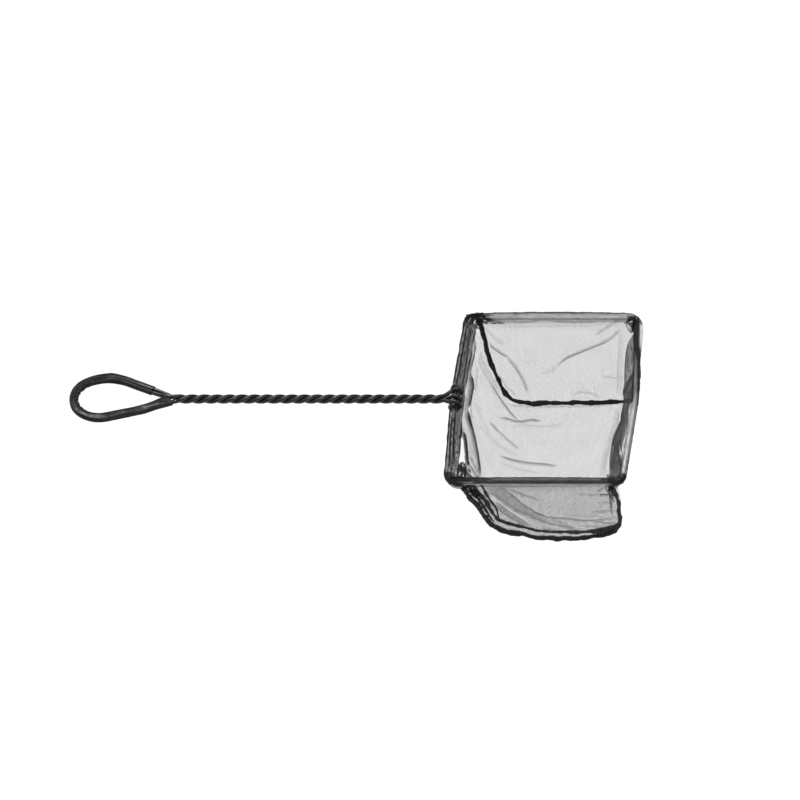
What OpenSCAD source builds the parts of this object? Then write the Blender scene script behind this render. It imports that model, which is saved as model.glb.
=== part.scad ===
// Hand net for an aquarium.
// A steel wire frame carries a box-shaped mesh bag. Three coated wires hook round the frame,
// are twisted into the handle and end in a loop with a soft sleeve over it.
// +X runs along the handle from the loop to the frame, +Y is across the mouth, +Z is up out of
// the bag. The origin is the centre of the loop's round end, on the handle's line.

/* [Frame] */
// Length of the mouth along the handle, between wire centres
mouth_l = 111; // [80:1:200]
// Width of the mouth across the handle, between wire centres
mouth_w = 150; // [100:1:220]
// How far the far side of the frame is shifted along the handle against the near side
frame_skew = 14.7; // [0:0.1:20]
// How far the handle side is drawn out to a point at the neck
neck_peak = 2.6; // [0.5:0.1:8]
// How far the end side bows outwards in its middle
end_bow = 3.5; // [0.5:0.1:8]
// Bend radius of the frame's corners, to the wire's centre
corner_r = 7; // [5:0.5:14]
// Diameter of the frame wire
frame_wire_d = 3; // [2.4:0.1:4]

/* [Handle] */
// Distance from the loop's round end to the frame wire at the neck
neck_x = 231.3; // [150:1:450]
// Diameter of one coated handle wire
strand_d = 2.8; // [2.2:0.1:3.4]
// Length in which a strand goes once round the handle
twist_pitch = 25; // [18:0.5:40]
// Straight length from the last twist to the frame wire
neck_run = 9; // [9:0.5:20]
// Distance along the frame from the neck to the upper wire's first wrap
hook_far = 6; // [3.8:0.1:12]
// The same for the lower wire
hook_near = 5; // [3.8:0.1:12]

/* [Loop] */
// Radius of the loop's round end, to the middle of the sleeve
loop_end_r = 17; // [14:0.5:28]
// Radius of the loop's flatter crown
loop_crown_r = 30; // [20:0.5:34]
// Distance from the loop's centre to where its branches meet
root_x = 46; // [42:1:80]
// Height of the upper branch above the handle's line where the branches meet
root_up = 1.5; // [1:0.1:4]
// Drop of the lower branch below the handle's line where the branches meet
root_down = 4.5; // [4:0.1:8]

/* [Grip sleeve] */
// How much wider the flattened sleeve is than the two wires in it
sleeve_slack = 0.8; // [0.2:0.1:4]
// Wall of the sleeve
sleeve_wall = 0.6; // [0.4:0.1:1]
// Length of upper branch that the sleeve leaves bare
sleeve_gap_up = 12.5; // [9:0.5:18]
// Length of lower branch that the sleeve leaves bare
sleeve_gap_down = 2.5; // [2:0.5:10]

/* [Bag] */
// Depth from the frame wire to the bag's floor
bag_depth = 66; // [45:0.5:120]
// How far the far side panel leans inwards down to the floor
lean_far = 10.5; // [2:0.1:25]
// The same for the near side panel
lean_near = 14.5; // [2:0.1:25]
// Thickness of the mesh cloth
mesh_t = 0.6; // [0.4:0.1:1.2]
// How far the far seam starts from the frame's corner at the handle
seam_in_far = 6; // [3:0.5:12]
// The same for the near seam
seam_in_near = 11; // [3:0.5:14]
// How far the far seam ends from the frame's corner at the end
seam_in_end_far = 4; // [3:0.5:8]
// The same for the near seam
seam_in_end_near = 8.5; // [3:0.5:12]
// How far the bag's heel is set in from the frame's corner on the far side
heel_in_far = 26; // [13:0.5:40]
// The same on the near side
heel_in_near = 38; // [15:0.5:45]
// How far the bag's toe is set in from the frame's end on the far side
toe_in_far = 1.5; // [0:0.5:12]
// The same on the near side
toe_in_near = 1; // [0:0.5:12]
// Radius of the heel on the far side
heel_r_far = 20; // [8:0.5:24]
// Radius of the heel on the near side
heel_r_near = 28; // [8:0.5:30]
// Radius of the toe on the far side
toe_r_far = 6; // [4:0.5:14]
// Radius of the toe on the near side
toe_r_near = 12; // [4:0.5:14]
// How far the slack wall at the end swings into the bag on the far side
end_swing_far = 7.5; // [0:0.5:12]
// The same on the near side
end_swing_near = 9.5; // [0:0.5:12]
// Sag of the floor between its seams
floor_sag = 2.5; // [0:0.1:6]

/* [Hem and seams] */
// Outside diameter of the casing round the frame wire
hem_d = 5; // [4.6:0.1:8]
// Depth of the casing from the wire's centre to its stitched foot
hem_drop = 6; // [5.2:0.1:10]
// Thickness of the casing's stitched foot
hem_foot_t = 1.6; // [1:0.1:2.4]
// Width of the binding along a seam
bind_w = 3.2; // [2:0.1:5]
// Thickness of the binding
bind_t = 1.5; // [1:0.1:3]

/* [Fits] */
// Play between a wire and what is fitted over it
wire_play = 0.1; // [0.05:0.05:0.2]
// Play between cloth edges that meet
cloth_play = 0.15; // [0.1:0.05:0.3]

/* [Hidden] */
$fn = 48;

steel = [0.74, 0.74, 0.76];
coated = [0.11, 0.11, 0.115];
vinyl = [0.16, 0.16, 0.165];
mesh = [0.36, 0.36, 0.37];
casing = [0.24, 0.24, 0.25];
binding = [0.07, 0.07, 0.075];

// small vector helpers
function unit(v) = v / norm(v);
function polar(a) = [cos(a), sin(a)];
function angle_of(v) = atan2(v[1], v[0]);
function left_of(v) = [-v[1], v[0]];
function mix(a, b, t) = a + (b - a) * t;

// Frame outline, counter-clockwise from the near corner on the handle side
corner_x = neck_x + neck_peak;
half_w = mouth_w / 2;
half_skew = frame_skew / 2;
near_handle = [corner_x - half_skew, -half_w];
near_end = [corner_x - half_skew + mouth_l, -half_w];
far_end = [corner_x + half_skew + mouth_l, half_w];
far_handle = [corner_x + half_skew, half_w];
end_middle = (near_end + far_end) / 2 + [end_bow, 0];
neck = [neck_x, 0];
outline = [near_handle, near_end, end_middle, far_end, far_handle, neck];
sides = len(outline);

function at(i) = outline[(i + sides) % sides];
function heading(i) = unit(at(i + 1) - at(i));
function turn(i) = let(a = angle_of(heading(i)) - angle_of(heading(i - 1))) a < 0 ? a + 360 : a;
function bend_len(i) = corner_r * tan(turn(i) / 2);
function bend_centre(i) = at(i) - heading(i - 1) * bend_len(i) + left_of(heading(i - 1)) * corner_r;
function side_start(i) = at(i) + heading(i) * bend_len(i);
function side_len(i) = norm(at(i + 1) - at(i)) - bend_len(i) - bend_len(i + 1);

// Draws its 2D child, whose x is across and y is up, along a straight line
module along(start, direction, length) {
    translate([start[0], start[1], 0])
        rotate([0, 0, angle_of(direction)])
            rotate([90, 0, 90])
                linear_extrude(length) children();
}

// Flat sweep: stations are [x, y, heading], section points are [to the left, up]
function ring_points(d, n) = [for (k = [0 : n - 1]) d / 2 * polar(360 * k / n)];
function station_point(s, q) = [s[0] + q[0] * cos(s[2] + 90), s[1] + q[0] * sin(s[2] + 90), q[1]];
function skin_faces(first, n, count, closed, inward) = [for (i = [0 : count - (closed ? 1 : 2)], k = [0 : n - 1])
    let(next = (i + 1) % count, a = first + n * i + k, b = first + n * i + (k + 1) % n,
        c = first + n * next + k, d = first + n * next + (k + 1) % n)
    each inward ? [[a, d, b], [a, c, d]] : [[a, b, d], [a, d, c]]];

module flat_sweep(stations, section) {
    n = len(section);
    count = len(stations);
    points = [for (s = stations, q = section) station_point(s, q)];
    polyhedron(points, skin_faces(0, n, count, true, false), convexity = 10);
}

// The same with open ends and a bore whose section has as many points
module flat_sweep_hollow(stations, section, bore) {
    n = len(section);
    count = len(stations);
    inner = n * count;
    end = n * (count - 1);
    points = [for (q = [section, bore], s = stations, r = q) station_point(s, r)];
    ends = [for (k = [0 : n - 1]) let(b = (k + 1) % n)
        each [[b, k, inner + k], [b, inner + k, inner + b],
            [end + k, end + b, inner + end + b], [end + k, inner + end + b, inner + end + k]]];
    polyhedron(points, concat(skin_faces(0, n, count, false, false), skin_faces(inner, n, count, false, true), ends),
        convexity = 10);
}

ring_turn = 15; // largest turn between two rings of a bend
function bend_stations(i) = let(c = bend_centre(i), a = angle_of(heading(i - 1)), n = ceil(turn(i) / ring_turn))
    [for (k = [0 : n]) let(b = a + turn(i) * k / n, p = c + corner_r * polar(b - 90)) [p[0], p[1], b]];

// Steel wire bent to the mouth's outline and butt welded at the neck
frame_wire_sides = 14;

module frame_wire() {
    color(steel)
        flat_sweep([for (i = [0 : sides - 1]) each bend_stations(i)], ring_points(frame_wire_d, frame_wire_sides));
}

// Handle wires: three helices that touch, wound the same way
strand_turn_share = 0.61; // the strands' circle radius in strand diameters
twist_r = strand_d * strand_turn_share;
twist_lead = 5; // from where the branches meet to the first twist
twist_x0 = root_x + twist_lead;
twist_x1 = neck_x - neck_run;
start_phases = [60, 180, 300];
end_shift = -7; // turns the strands at the neck so that each lies towards its hook
whole_turns = max(1, round((twist_x1 - twist_x0) / twist_pitch));
twist_total = whole_turns * 360 - end_shift;
twist_rate = twist_total / (twist_x1 - twist_x0);
rings_per_turn = 12;
strand_sides = 8;

function phase_at(k, x) = start_phases[k] - twist_rate * (x - twist_x0);
function on_twist(k, x) = [x, twist_r * cos(phase_at(k, x)), twist_r * sin(phase_at(k, x))];
function twist_slope(k, x) = twist_r * twist_rate * PI / 180 * [0, sin(phase_at(k, x)), -cos(phase_at(k, x))];
function twist_heading(k, x) = unit([1, 0, 0] + twist_slope(k, x));
function twist_points(k) = let(n = ceil(twist_total / 360 * rings_per_turn))
    [for (i = [0 : n]) on_twist(k, mix(twist_x0, twist_x1, i / n))];

// Smooth run between two points with given headings
function blend_point(p0, h0, p1, h1, t) = let(reach = norm(p1 - p0))
    p0 * (2 * t * t * t - 3 * t * t + 1) + h0 * reach * (t * t * t - 2 * t * t + t)
    + p1 * (3 * t * t - 2 * t * t * t) + h1 * reach * (t * t * t - t * t);
function blend_points(p0, h0, p1, h1, n) = [for (i = [1 : n - 1]) blend_point(p0, h0, p1, h1, i / n)];

// Tube with round ends cut square, swept along points without twisting
function path_heading(p, i) = unit(p[min(i + 1, len(p) - 1)] - p[max(i - 1, 0)]);
function square_to(h, v) = unit(v - (v * h) * h);
function carried(p, first) = [for (i = 0, v = square_to(path_heading(p, 0), first); i < len(p);
    i = i + 1, v = i < len(p) ? square_to(path_heading(p, i), v) : v) v];

module swept_tube(p, d, n, first = [0, 0, 1]) {
    up = carried(p, first);
    points = [for (i = [0 : len(p) - 1]) let(h = path_heading(p, i), side = cross(h, up[i]))
        for (k = [0 : n - 1]) p[i] + d / 2 * (up[i] * cos(360 * k / n) + side * sin(360 * k / n))];
    last = n * (len(p) - 1);
    walls = [for (i = [0 : len(p) - 2], k = [0 : n - 1]) let(a = n * i + k, b = n * i + (k + 1) % n)
        each [[a, b, b + n], [a, b + n, a + n]]];
    first_cap = [for (k = [1 : n - 2]) [0, k + 1, k]];
    last_cap = [for (k = [1 : n - 2]) [last, last + k, last + k + 1]];
    polyhedron(points, concat(walls, first_cap, last_cap), convexity = 10);
}

// Loop centreline: a round end, a flatter crown and two straight branches to the root
crown_from = 115; // angle where the round end passes into the crown
end_centre = [0, 0];
crown_centre = end_centre + (loop_end_r - loop_crown_r) * polar(crown_from);
root_upper = [root_x, root_up];
root_lower = [root_x, -root_down];
function tangent_angle(c, r, p, side) = angle_of(p - c) + side * acos(r / norm(p - c));
upper_from = tangent_angle(crown_centre, loop_crown_r, root_upper, 1);
lower_from = tangent_angle(end_centre, loop_end_r, root_lower, -1);
upper_foot = crown_centre + loop_crown_r * polar(upper_from);
lower_foot = end_centre + loop_end_r * polar(lower_from);
upper_way = unit(root_upper - upper_foot);
lower_way = unit(root_lower - lower_foot);
upper_out = left_of(upper_way);
lower_out = -left_of(lower_way);

// Stations from the upper branch round the loop to the lower one, at a distance out from the
// centreline, with the given lengths of the two branches left bare
crown_rings = 5;
end_rings = 15;
function arc_station(c, r, a) = [c[0] + r * cos(a), c[1] + r * sin(a), a + 90];
function loop_stations(out, bare_up, bare_down) = let(
        up = root_upper - upper_way * bare_up + upper_out * out,
        down = root_lower - lower_way * bare_down + lower_out * out)
    concat([[up[0], up[1], angle_of(-upper_way)]],
        [for (k = [0 : crown_rings])
            arc_station(crown_centre, loop_crown_r + out, mix(upper_from, crown_from, k / crown_rings))],
        [for (k = [1 : end_rings])
            arc_station(end_centre, loop_end_r + out, mix(crown_from, 360 + lower_from, k / end_rings))],
        [[down[0], down[1], angle_of(lower_way)]]);

// The sleeve's bore holds two wires side by side
wire_out = strand_d / 2 + wire_play;
bore_h = strand_d + 2 * wire_play;
bore_w = 2 * (strand_d + wire_play) + sleeve_slack;
tail_in = 14; // how far the third wire's end reaches into the sleeve
wire_step = 0.5; // how far a wire stands out of the sleeve before its run to the twist starts

slot_end_points = 6; // on each round end of the sleeve's section
function slot_points(w, h) = [for (s = [1, -1], k = [0 : slot_end_points - 1])
    [s * (w - h) / 2, 0] + s * h / 2 * polar(180 * k / (slot_end_points - 1) - 90)];

module grip_sleeve() {
    color(vinyl)
        flat_sweep_hollow(loop_stations(0, sleeve_gap_up, sleeve_gap_down),
            slot_points(bore_w + 2 * sleeve_wall, bore_h + 2 * sleeve_wall), slot_points(bore_w, bore_h));
}

// The same wire as the upper and lower strands, bent round inside the sleeve
module loop_wire() {
    bare_less = wire_step - wire_play;
    stations = loop_stations(-wire_out, sleeve_gap_up - bare_less, sleeve_gap_down - bare_less);
    color(coated) swept_tube([for (s = stations) [s[0], s[1], 0]], strand_d, strand_sides);
}

// From the upper mouth of the sleeve two wires lie side by side and turn until one is above
// the other where the twist starts
pair_start = root_upper - upper_way * (sleeve_gap_up - wire_step);
pair_end = (on_twist(0, twist_x0) + on_twist(2, twist_x0)) / 2;
pair_rise = [1, 0, -twist_r / 2 * twist_rate * PI / 180];
entry_rings = 7;
function pair_middle(t) = blend_point([pair_start[0], pair_start[1], 0], [upper_way[0], upper_way[1], 0],
    pair_end, unit(pair_rise), t);
function pair_split(t) = let(a = 90 * t * t, w = mix(wire_out, twist_r * sin(start_phases[0]), t))
    w * (cos(a) * [upper_out[0], upper_out[1], 0] + sin(a) * [0, 0, -1]);
function pair_points(side) = [for (i = [0 : entry_rings - 1]) let(t = i / entry_rings)
    pair_middle(t) + side * pair_split(t)];

lower_start = root_lower - lower_way * (sleeve_gap_down - wire_step) - lower_out * wire_out;
function lower_points() = let(p = [lower_start[0], lower_start[1], 0], h = [lower_way[0], lower_way[1], 0])
    concat([p], blend_points(p, h, on_twist(1, twist_x0), twist_heading(1, twist_x0), entry_rings));

// Hooks: each wire bends out of the twist and wraps round the frame wire
wrap_r = (frame_wire_d + strand_d) / 2 + wire_play;
wrap_pitch = strand_d + 3 * wire_play;
wrap_start = 50; // angle round the frame wire at which a wrap begins
wrap_steps = 13;
exit_rings = 5;
function to_neck(direction) = [direction[0], direction[1], 0];
far_way = to_neck(-heading(4));
near_way = to_neck(heading(5));
function across_of(way) = way[1] > 0 ? [way[1], -way[0], 0] : [-way[1], way[0], 0];

// a point on the wrap at an angle from the outside over the top
function on_wrap(way, off, a) = let(u = across_of(way))
    [neck_x, 0, 0] + way * (off + wrap_pitch * (a - wrap_start) / 360)
    - u * wrap_r * cos(a) + [0, 0, wrap_r * sin(a)];
function wrap_points(way, off, arc) = [for (i = [0 : wrap_steps])
    on_wrap(way, off, wrap_start + arc * i / wrap_steps)];
function hook_points(k, way, off, arc) =
    let(p = on_twist(k, twist_x1), q = on_wrap(way, off, wrap_start),
        next = on_wrap(way, off, wrap_start + 1))
    concat(blend_points(p, twist_heading(k, twist_x1), q, unit(next - q), exit_rings),
        wrap_points(way, off, arc));

hook_arc = 400; // how far the upper and lower wires go round the frame wire
middle_arc = 200; // how far the third wire goes round it

module strand_upper() {
    color(coated)
        swept_tube(concat(pair_points(-1), twist_points(0), hook_points(0, far_way, hook_far, hook_arc)),
            strand_d, strand_sides);
}

module strand_lower() {
    color(coated)
        swept_tube(concat(lower_points(), twist_points(1), hook_points(1, near_way, hook_near, hook_arc)),
            strand_d, strand_sides);
}

tail_start = pair_start - upper_way * tail_in + upper_out * wire_out;

module strand_middle() {
    color(coated)
        swept_tube(concat([[tail_start[0], tail_start[1], 0]], pair_points(1), twist_points(2),
            hook_points(2, near_way, 0, middle_arc)), strand_d, strand_sides);
}

// Casing: mesh folded round the frame wire and stitched together below it
hem_arc_points = 12;
hem_side_a = 12; // how far below the middle the round part reaches before it narrows to the foot
hem_bore_d = frame_wire_d + 2 * wire_play;
hem_points = concat([for (k = [0 : hem_arc_points - 1])
    hem_d / 2 * polar(mix(-hem_side_a, 180 + hem_side_a, k / (hem_arc_points - 1)))],
    [[-hem_foot_t / 2, -hem_drop], [hem_foot_t / 2, -hem_drop]]);
hem_bore_points = ring_points(hem_bore_d, len(hem_points));

module straight_hem(start, direction, length) {
    color(casing)
        along(start, direction, length)
            difference() {
                polygon(hem_points);
                circle(d = hem_bore_d);
            }
}

// A hem along a bent stretch of the frame
module bent_hem(stations) {
    turned = -angle_of(hem_points[0]);
    color(casing)
        flat_sweep_hollow(stations, hem_points,
            [for (q = hem_bore_points) hem_bore_d / 2 * polar(angle_of(q) - turned)]);
}

module far_hem() bent_hem(concat(bend_stations(3), bend_stations(4)));

module near_hem() bent_hem(concat(bend_stations(0), bend_stations(1)));

module end_hem() {
    near_corner = bend_stations(1);
    bent_hem(concat([near_corner[len(near_corner) - 1]], bend_stations(2), [bend_stations(3)[0]]));
}

// The casing stops clear of the hooks at the neck
hook_room = wrap_pitch * hook_arc / 360 + strand_d / 2 + 2 * wire_play;
far_stop = hook_far + hook_room;
near_stop = hook_near + hook_room;

module handle_hem_far() straight_hem(side_start(4), heading(4), side_len(4) + bend_len(5) - far_stop);

module handle_hem_near()
    straight_hem(neck + heading(5) * near_stop, heading(5), side_len(5) + bend_len(5) - near_stop);

// Bag: two leaning side panels and one strip between them for the wall at the handle,
// the floor and the wall at the end
bag_top = hem_drop + cloth_play;
panel_run = bag_depth - bag_top;
function panel_len(lean) = norm([lean, panel_run]);
function lean_angle(lean) = atan2(lean, panel_run);
wall_steps = 4;
bend_steps = 6;
floor_steps = 8;

// Points on a rounded vertex v between a and b
function rounded(a, v, b, r) = let(d1 = unit(v - a), d2 = unit(b - v), t = acos(d1 * d2),
        start = v - d1 * r * tan(t / 2), c = start + left_of(d1) * r, from = angle_of(d1) - 90)
    [for (i = [0 : bend_steps]) c + r * polar(from + t * i / bend_steps)];
function between(a, b, n) = [for (i = [1 : n - 1]) mix(a, b, i / n)];

// Panel outline as [along, down]: handle side, heel, floor, toe, end side
function panel_outline(seam_in, heel_in, heel_r, toe_in, toe_r, seam_in_end, depth) = let(
        a = [seam_in, 0], v1 = [heel_in, -depth], v2 = [mouth_l - toe_in, -depth],
        b = [mouth_l - seam_in_end, 0], heel = rounded(a, v1, v2, heel_r), toe = rounded(v1, v2, b, toe_r))
    concat([a], between(a, heel[0], wall_steps), heel, between(heel[bend_steps], toe[0], floor_steps), toe,
        between(toe[bend_steps], b, wall_steps), [b]);
far_outline = panel_outline(seam_in_far, heel_in_far, heel_r_far, toe_in_far, toe_r_far, seam_in_end_far,
    panel_len(lean_far));
near_outline = panel_outline(seam_in_near, heel_in_near, heel_r_near, toe_in_near, toe_r_near,
    seam_in_end_near, panel_len(lean_near));
outline_count = len(far_outline);

module place_panel(corner, lean) {
    translate([corner[0], corner[1], -bag_top])
        rotate([90 - lean_angle(lean), 0, 0]) children();
}

module panel(outline) {
    color(mesh) translate([0, 0, -mesh_t / 2]) linear_extrude(mesh_t) polygon(outline);
}

module far_panel() place_panel(far_handle, lean_far) panel(far_outline);

module near_panel() place_panel(near_handle, -lean_near) panel(near_outline);

// A point of the bag's strip: i along the outline, j across from far to near, lifted into the bag.
// Behind the bindings it stands square to the panels
function on_panel(corner, lean, p) = let(a = lean_angle(lean))
    [corner[0] + p[0], corner[1] + p[1] * sin(a), -bag_top + p[1] * cos(a)];
function outline_in(o, i) = let(h = unit(o[min(i + 1, outline_count - 1)] - o[max(i - 1, 0)])) left_of(h);
heel_end = wall_steps + bend_steps;
toe_start = heel_end + floor_steps;
function floor_share(i) = i <= wall_steps || i >= toe_start + bend_steps ? 0 :
    i < heel_end ? (i - wall_steps) / bend_steps :
    i > toe_start ? (toe_start + bend_steps - i) / bend_steps : 1;
function wall_share(i) = i <= wall_steps ? 1 - i / (wall_steps + 1) : 0;
function end_share(i) = wall_share(outline_count - 1 - i);
function end_hang(i) = i < toe_start ? 0 : sin(180 * min(1, -far_outline[i][1] / panel_len(lean_far)));
across_steps = 12; // closer together towards the seams
edge_gap = mesh_t / 2 + cloth_play;
behind_seam = max(bind_t, mesh_t) / 2 + 2 * cloth_play;
function from_panel(lean, out) = let(a = lean_angle(lean)) sign(lean) * out * [0, -cos(a), sin(a)];
function far_point(i, lift, out) = from_panel(lean_far, out)
    + on_panel(far_handle, lean_far, far_outline[i] + lift * outline_in(far_outline, i));
function near_point(i, lift, out) = from_panel(-lean_near, out)
    + on_panel(near_handle, -lean_near, near_outline[i] + lift * outline_in(near_outline, i));

// Towards the middle the strip's top edges run out to the line of the hems, as the frame's corner does
function out_share(v) = 1 - pow(max(0, 1 - min(v, 1 - v) * mouth_w / corner_r), 2);
function strip_shift(i, v) = let(peak = 1 - abs(2 * v - 1), bow = 4 * v * (1 - v))
    [out_share(v) * (mix(seam_in_end_far, seam_in_end_near, v) * end_share(i)
            - mix(seam_in_far, seam_in_near, v) * wall_share(i))
        + peak * (end_bow * end_share(i) - neck_peak * wall_share(i))
        - (1 - pow(2 * v - 1, 4)) * mix(end_swing_far, end_swing_near, v) * end_hang(i),
        0, -floor_sag * bow * floor_share(i)];
function strip_point(i, j, lift) =
    j == 0 ? far_point(i, lift, edge_gap) :
    j == across_steps ? near_point(i, lift, edge_gap) :
    let(v = (1 - cos(180 * (j - 1) / (across_steps - 2))) / 2)
    mix(far_point(i, lift, behind_seam), near_point(i, lift, behind_seam), v) + strip_shift(i, v);

module gusset() {
    row = across_steps + 1;
    skin = row * outline_count;
    points = [for (lift = [0, mesh_t], i = [0 : outline_count - 1], j = [0 : across_steps])
        strip_point(i, j, lift)];
    faces = [for (i = [0 : outline_count - 2], j = [0 : across_steps - 1])
        let(a = row * i + j, b = a + 1, c = a + row, d = c + 1)
        each [[a, b, d], [a, d, c], [skin + a, skin + d, skin + b], [skin + a, skin + c, skin + d]]];
    ends = [for (j = [0 : across_steps - 1], i = [0, outline_count - 1])
        let(a = row * i + j, b = a + 1)
        each i == 0 ? [[a, skin + b, b], [a, skin + a, skin + b]] : [[a, b, skin + b], [a, skin + b, skin + a]]];
    edges = [for (i = [0 : outline_count - 2], j = [0, across_steps])
        let(a = row * i + j, b = a + row)
        each j == 0 ? [[a, b, skin + b], [a, skin + b, skin + a]] : [[a, skin + b, b], [a, skin + a, skin + b]]];
    color(mesh) polyhedron(points, concat(faces, ends, edges), convexity = 10);
}

// Bindings: tape folded over the seam, standing out in the plane of the panel. Their ends are
// shortened because they are thicker than the cloth and lean with it
function shortened(o, by) = [for (i = [0 : outline_count - 1])
    i == 0 ? o[0] + by * unit(o[1] - o[0]) :
    i == outline_count - 1 ? o[i] + by * unit(o[i - 1] - o[i]) : o[i]];

module seam_band(outline, lean) {
    o = shortened(outline, bind_t / 2 * tan(lean_angle(lean)));
    inner = [for (i = [0 : outline_count - 1]) o[i] - cloth_play * outline_in(o, i)];
    outer = [for (i = [outline_count - 1 : -1 : 0]) o[i] - (cloth_play + bind_w) * outline_in(o, i)];
    color(binding) translate([0, 0, -bind_t / 2]) linear_extrude(bind_t) polygon(concat(inner, outer));
}

module far_seam() place_panel(far_handle, lean_far) seam_band(far_outline, lean_far);

module near_seam() place_panel(near_handle, -lean_near) seam_band(near_outline, lean_near);

frame_wire();
strand_upper();
strand_lower();
strand_middle();
loop_wire();
grip_sleeve();
far_hem();
near_hem();
handle_hem_far();
handle_hem_near();
end_hem();
far_panel();
near_panel();
gusset();
far_seam();
near_seam();
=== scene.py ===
"""Aquarium fish net: twisted coated-wire handle, sleeved loop, wire frame and a sheer mesh bag."""
import bpy
import math
import numpy as np
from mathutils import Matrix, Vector


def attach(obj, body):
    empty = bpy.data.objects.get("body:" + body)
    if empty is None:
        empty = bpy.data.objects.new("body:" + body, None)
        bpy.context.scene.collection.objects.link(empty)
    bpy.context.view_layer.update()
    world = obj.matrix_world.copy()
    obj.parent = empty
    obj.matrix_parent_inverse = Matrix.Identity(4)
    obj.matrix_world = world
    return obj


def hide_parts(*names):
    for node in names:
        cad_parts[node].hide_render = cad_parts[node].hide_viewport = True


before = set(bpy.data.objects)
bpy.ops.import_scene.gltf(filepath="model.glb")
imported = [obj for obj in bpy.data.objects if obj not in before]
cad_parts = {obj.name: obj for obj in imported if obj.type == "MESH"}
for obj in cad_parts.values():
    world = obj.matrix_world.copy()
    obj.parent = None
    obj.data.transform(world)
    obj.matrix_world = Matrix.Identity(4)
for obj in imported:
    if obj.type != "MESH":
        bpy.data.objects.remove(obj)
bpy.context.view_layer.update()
MM = 0.001

# Sizes in millimetres, as the part was built
MOUTH_L, HALF_W, CORNER_R, WIRE_D = 111.0, 75.0, 7.0, 3.0
NEAR_X, FAR_X = 226.55, 241.25
NEAR_HANDLE, NEAR_END = (NEAR_X, -HALF_W), (NEAR_X + MOUTH_L, -HALF_W)
FAR_HANDLE, FAR_END = (FAR_X, HALF_W), (FAR_X + MOUTH_L, HALF_W)
END_MIDDLE, NECK = (348.4, 0.0), (231.3, 0.0)
END_BOW, NECK_PEAK = 3.5, 2.6
STRAND_D, ROOT, LOOP_R, CROWN_R, CROWN_FROM = 2.8, (46.0, 1.5, -4.5), 17.0, 30.0, 115.0
BAG_TOP, BAG_DEPTH, FLOOR_SAG = 6.15, 66.0, 2.5
FAR, NEAR = dict(corner=FAR_HANDLE, lean=10.5), dict(corner=NEAR_HANDLE, lean=-14.5)
SEAM_IN, SEAM_IN_END = (6.0, 11.0), (4.0, 8.5)
# How far the panels reach up into the casing, how far its foot hangs below the wire, and its radius
TUCK, FOOT_NEAR, FOOT_FAR, FOOT_END, CASING_R = 4.6, 3.2, 4.6, 4.2, 2.45
ALONG, UP = np.array([1.0, 0.0, 0.0]), np.array([0.0, 0.0, 1.0])

# The photo's camera: far away, level across, looking down on the net from the near side
TILT = math.radians(45.65)
AIM = np.array([195.3, -0.9, 0.0])
CAMERA_FAR, SENSOR, LENS = 3800.0, 36.0, 263.0
PHOTO = 800  # pixels across and down
PIXEL = SENSOR / LENS * CAMERA_FAR / PHOTO  # its size where the camera aims
AHEAD = np.array([0.0, math.cos(TILT), -math.sin(TILT)])
OVERHEAD = np.array([0.0, math.sin(TILT), math.cos(TILT)])


# Numbers and lines
def unit(v):
    return v / np.linalg.norm(v, axis=-1, keepdims=True)


def ease(low, high, x):
    t = np.clip((x - low) / (high - low), 0, 1)
    return t * t * (3 - 2 * t)


def bump(middle, width, x):
    return np.exp(-(((x - middle) / width) ** 2))


def mix(a, b, t):
    return a + (b - a) * t


def powered(v, power):
    """A power of v that keeps its sign."""
    return np.sign(v) * np.abs(v) ** power


def waves(x, y, seed, shortest, longest):
    """Smooth noise between about -1 and 1: a sum of sine waves with seeded directions."""
    rng = np.random.default_rng(seed)
    total, count = 0.0, 9
    for _ in range(count):
        size = shortest * (longest / shortest) ** rng.random()
        turn, shift = rng.random(2) * 2 * math.pi
        total = total + np.sin((x * math.cos(turn) + y * math.sin(turn)) * 2 * math.pi / size + shift)
    return total / math.sqrt(count * 2)


def ripple(run, seed, shortest, longest):
    """The same noise along a run alone."""
    return waves(run, run * 0, seed, shortest, longest)


def way_at(angle):
    """The direction at an angle, as x and y."""
    return np.stack([np.cos(angle), np.sin(angle)], axis=-1)


def in_photo(points):
    """Where points of the model lie in the photo, in its pixels."""
    away = points - AIM
    scale = CAMERA_FAR / (CAMERA_FAR + away @ AHEAD) / PIXEL
    return PHOTO / 2 + away[..., 0] * scale, PHOTO / 2 - (away @ OVERHEAD) * scale


def line_across(line, py):
    """How far across the photo a line runs at its rows py."""
    return np.interp(py, *np.array(line)[:, ::-1].T)


def run_of(line):
    """How far along a line each of its points is."""
    return np.concatenate([[0.0], np.cumsum(np.linalg.norm(np.diff(line, axis=0), axis=1))])


def evenly(line, count):
    """The same line with evenly spaced points."""
    run = run_of(line)
    at = np.linspace(0, run[-1], count)
    return np.stack([np.interp(at, run, line[:, k]) for k in range(line.shape[1])], axis=1)


def rounded_line(corners, step, blur):
    """A smooth line near the corners given, from the first to the last."""
    corners = np.array(corners, float)
    line = evenly(corners, int(run_of(corners)[-1] / step) + 2)
    width = max(1, int(blur / step))
    kernel = np.hanning(2 * width + 3)[1:-1]
    kernel /= kernel.sum()
    half = len(kernel) // 2
    ahead = 2 * line[0] - line[1:half + 1][::-1]
    beyond = 2 * line[-1] - line[-half - 1:-1][::-1]
    full = np.concatenate([ahead, line, beyond])
    return np.stack([np.convolve(full[:, k], kernel, "valid") for k in range(line.shape[1])], axis=1)


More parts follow.
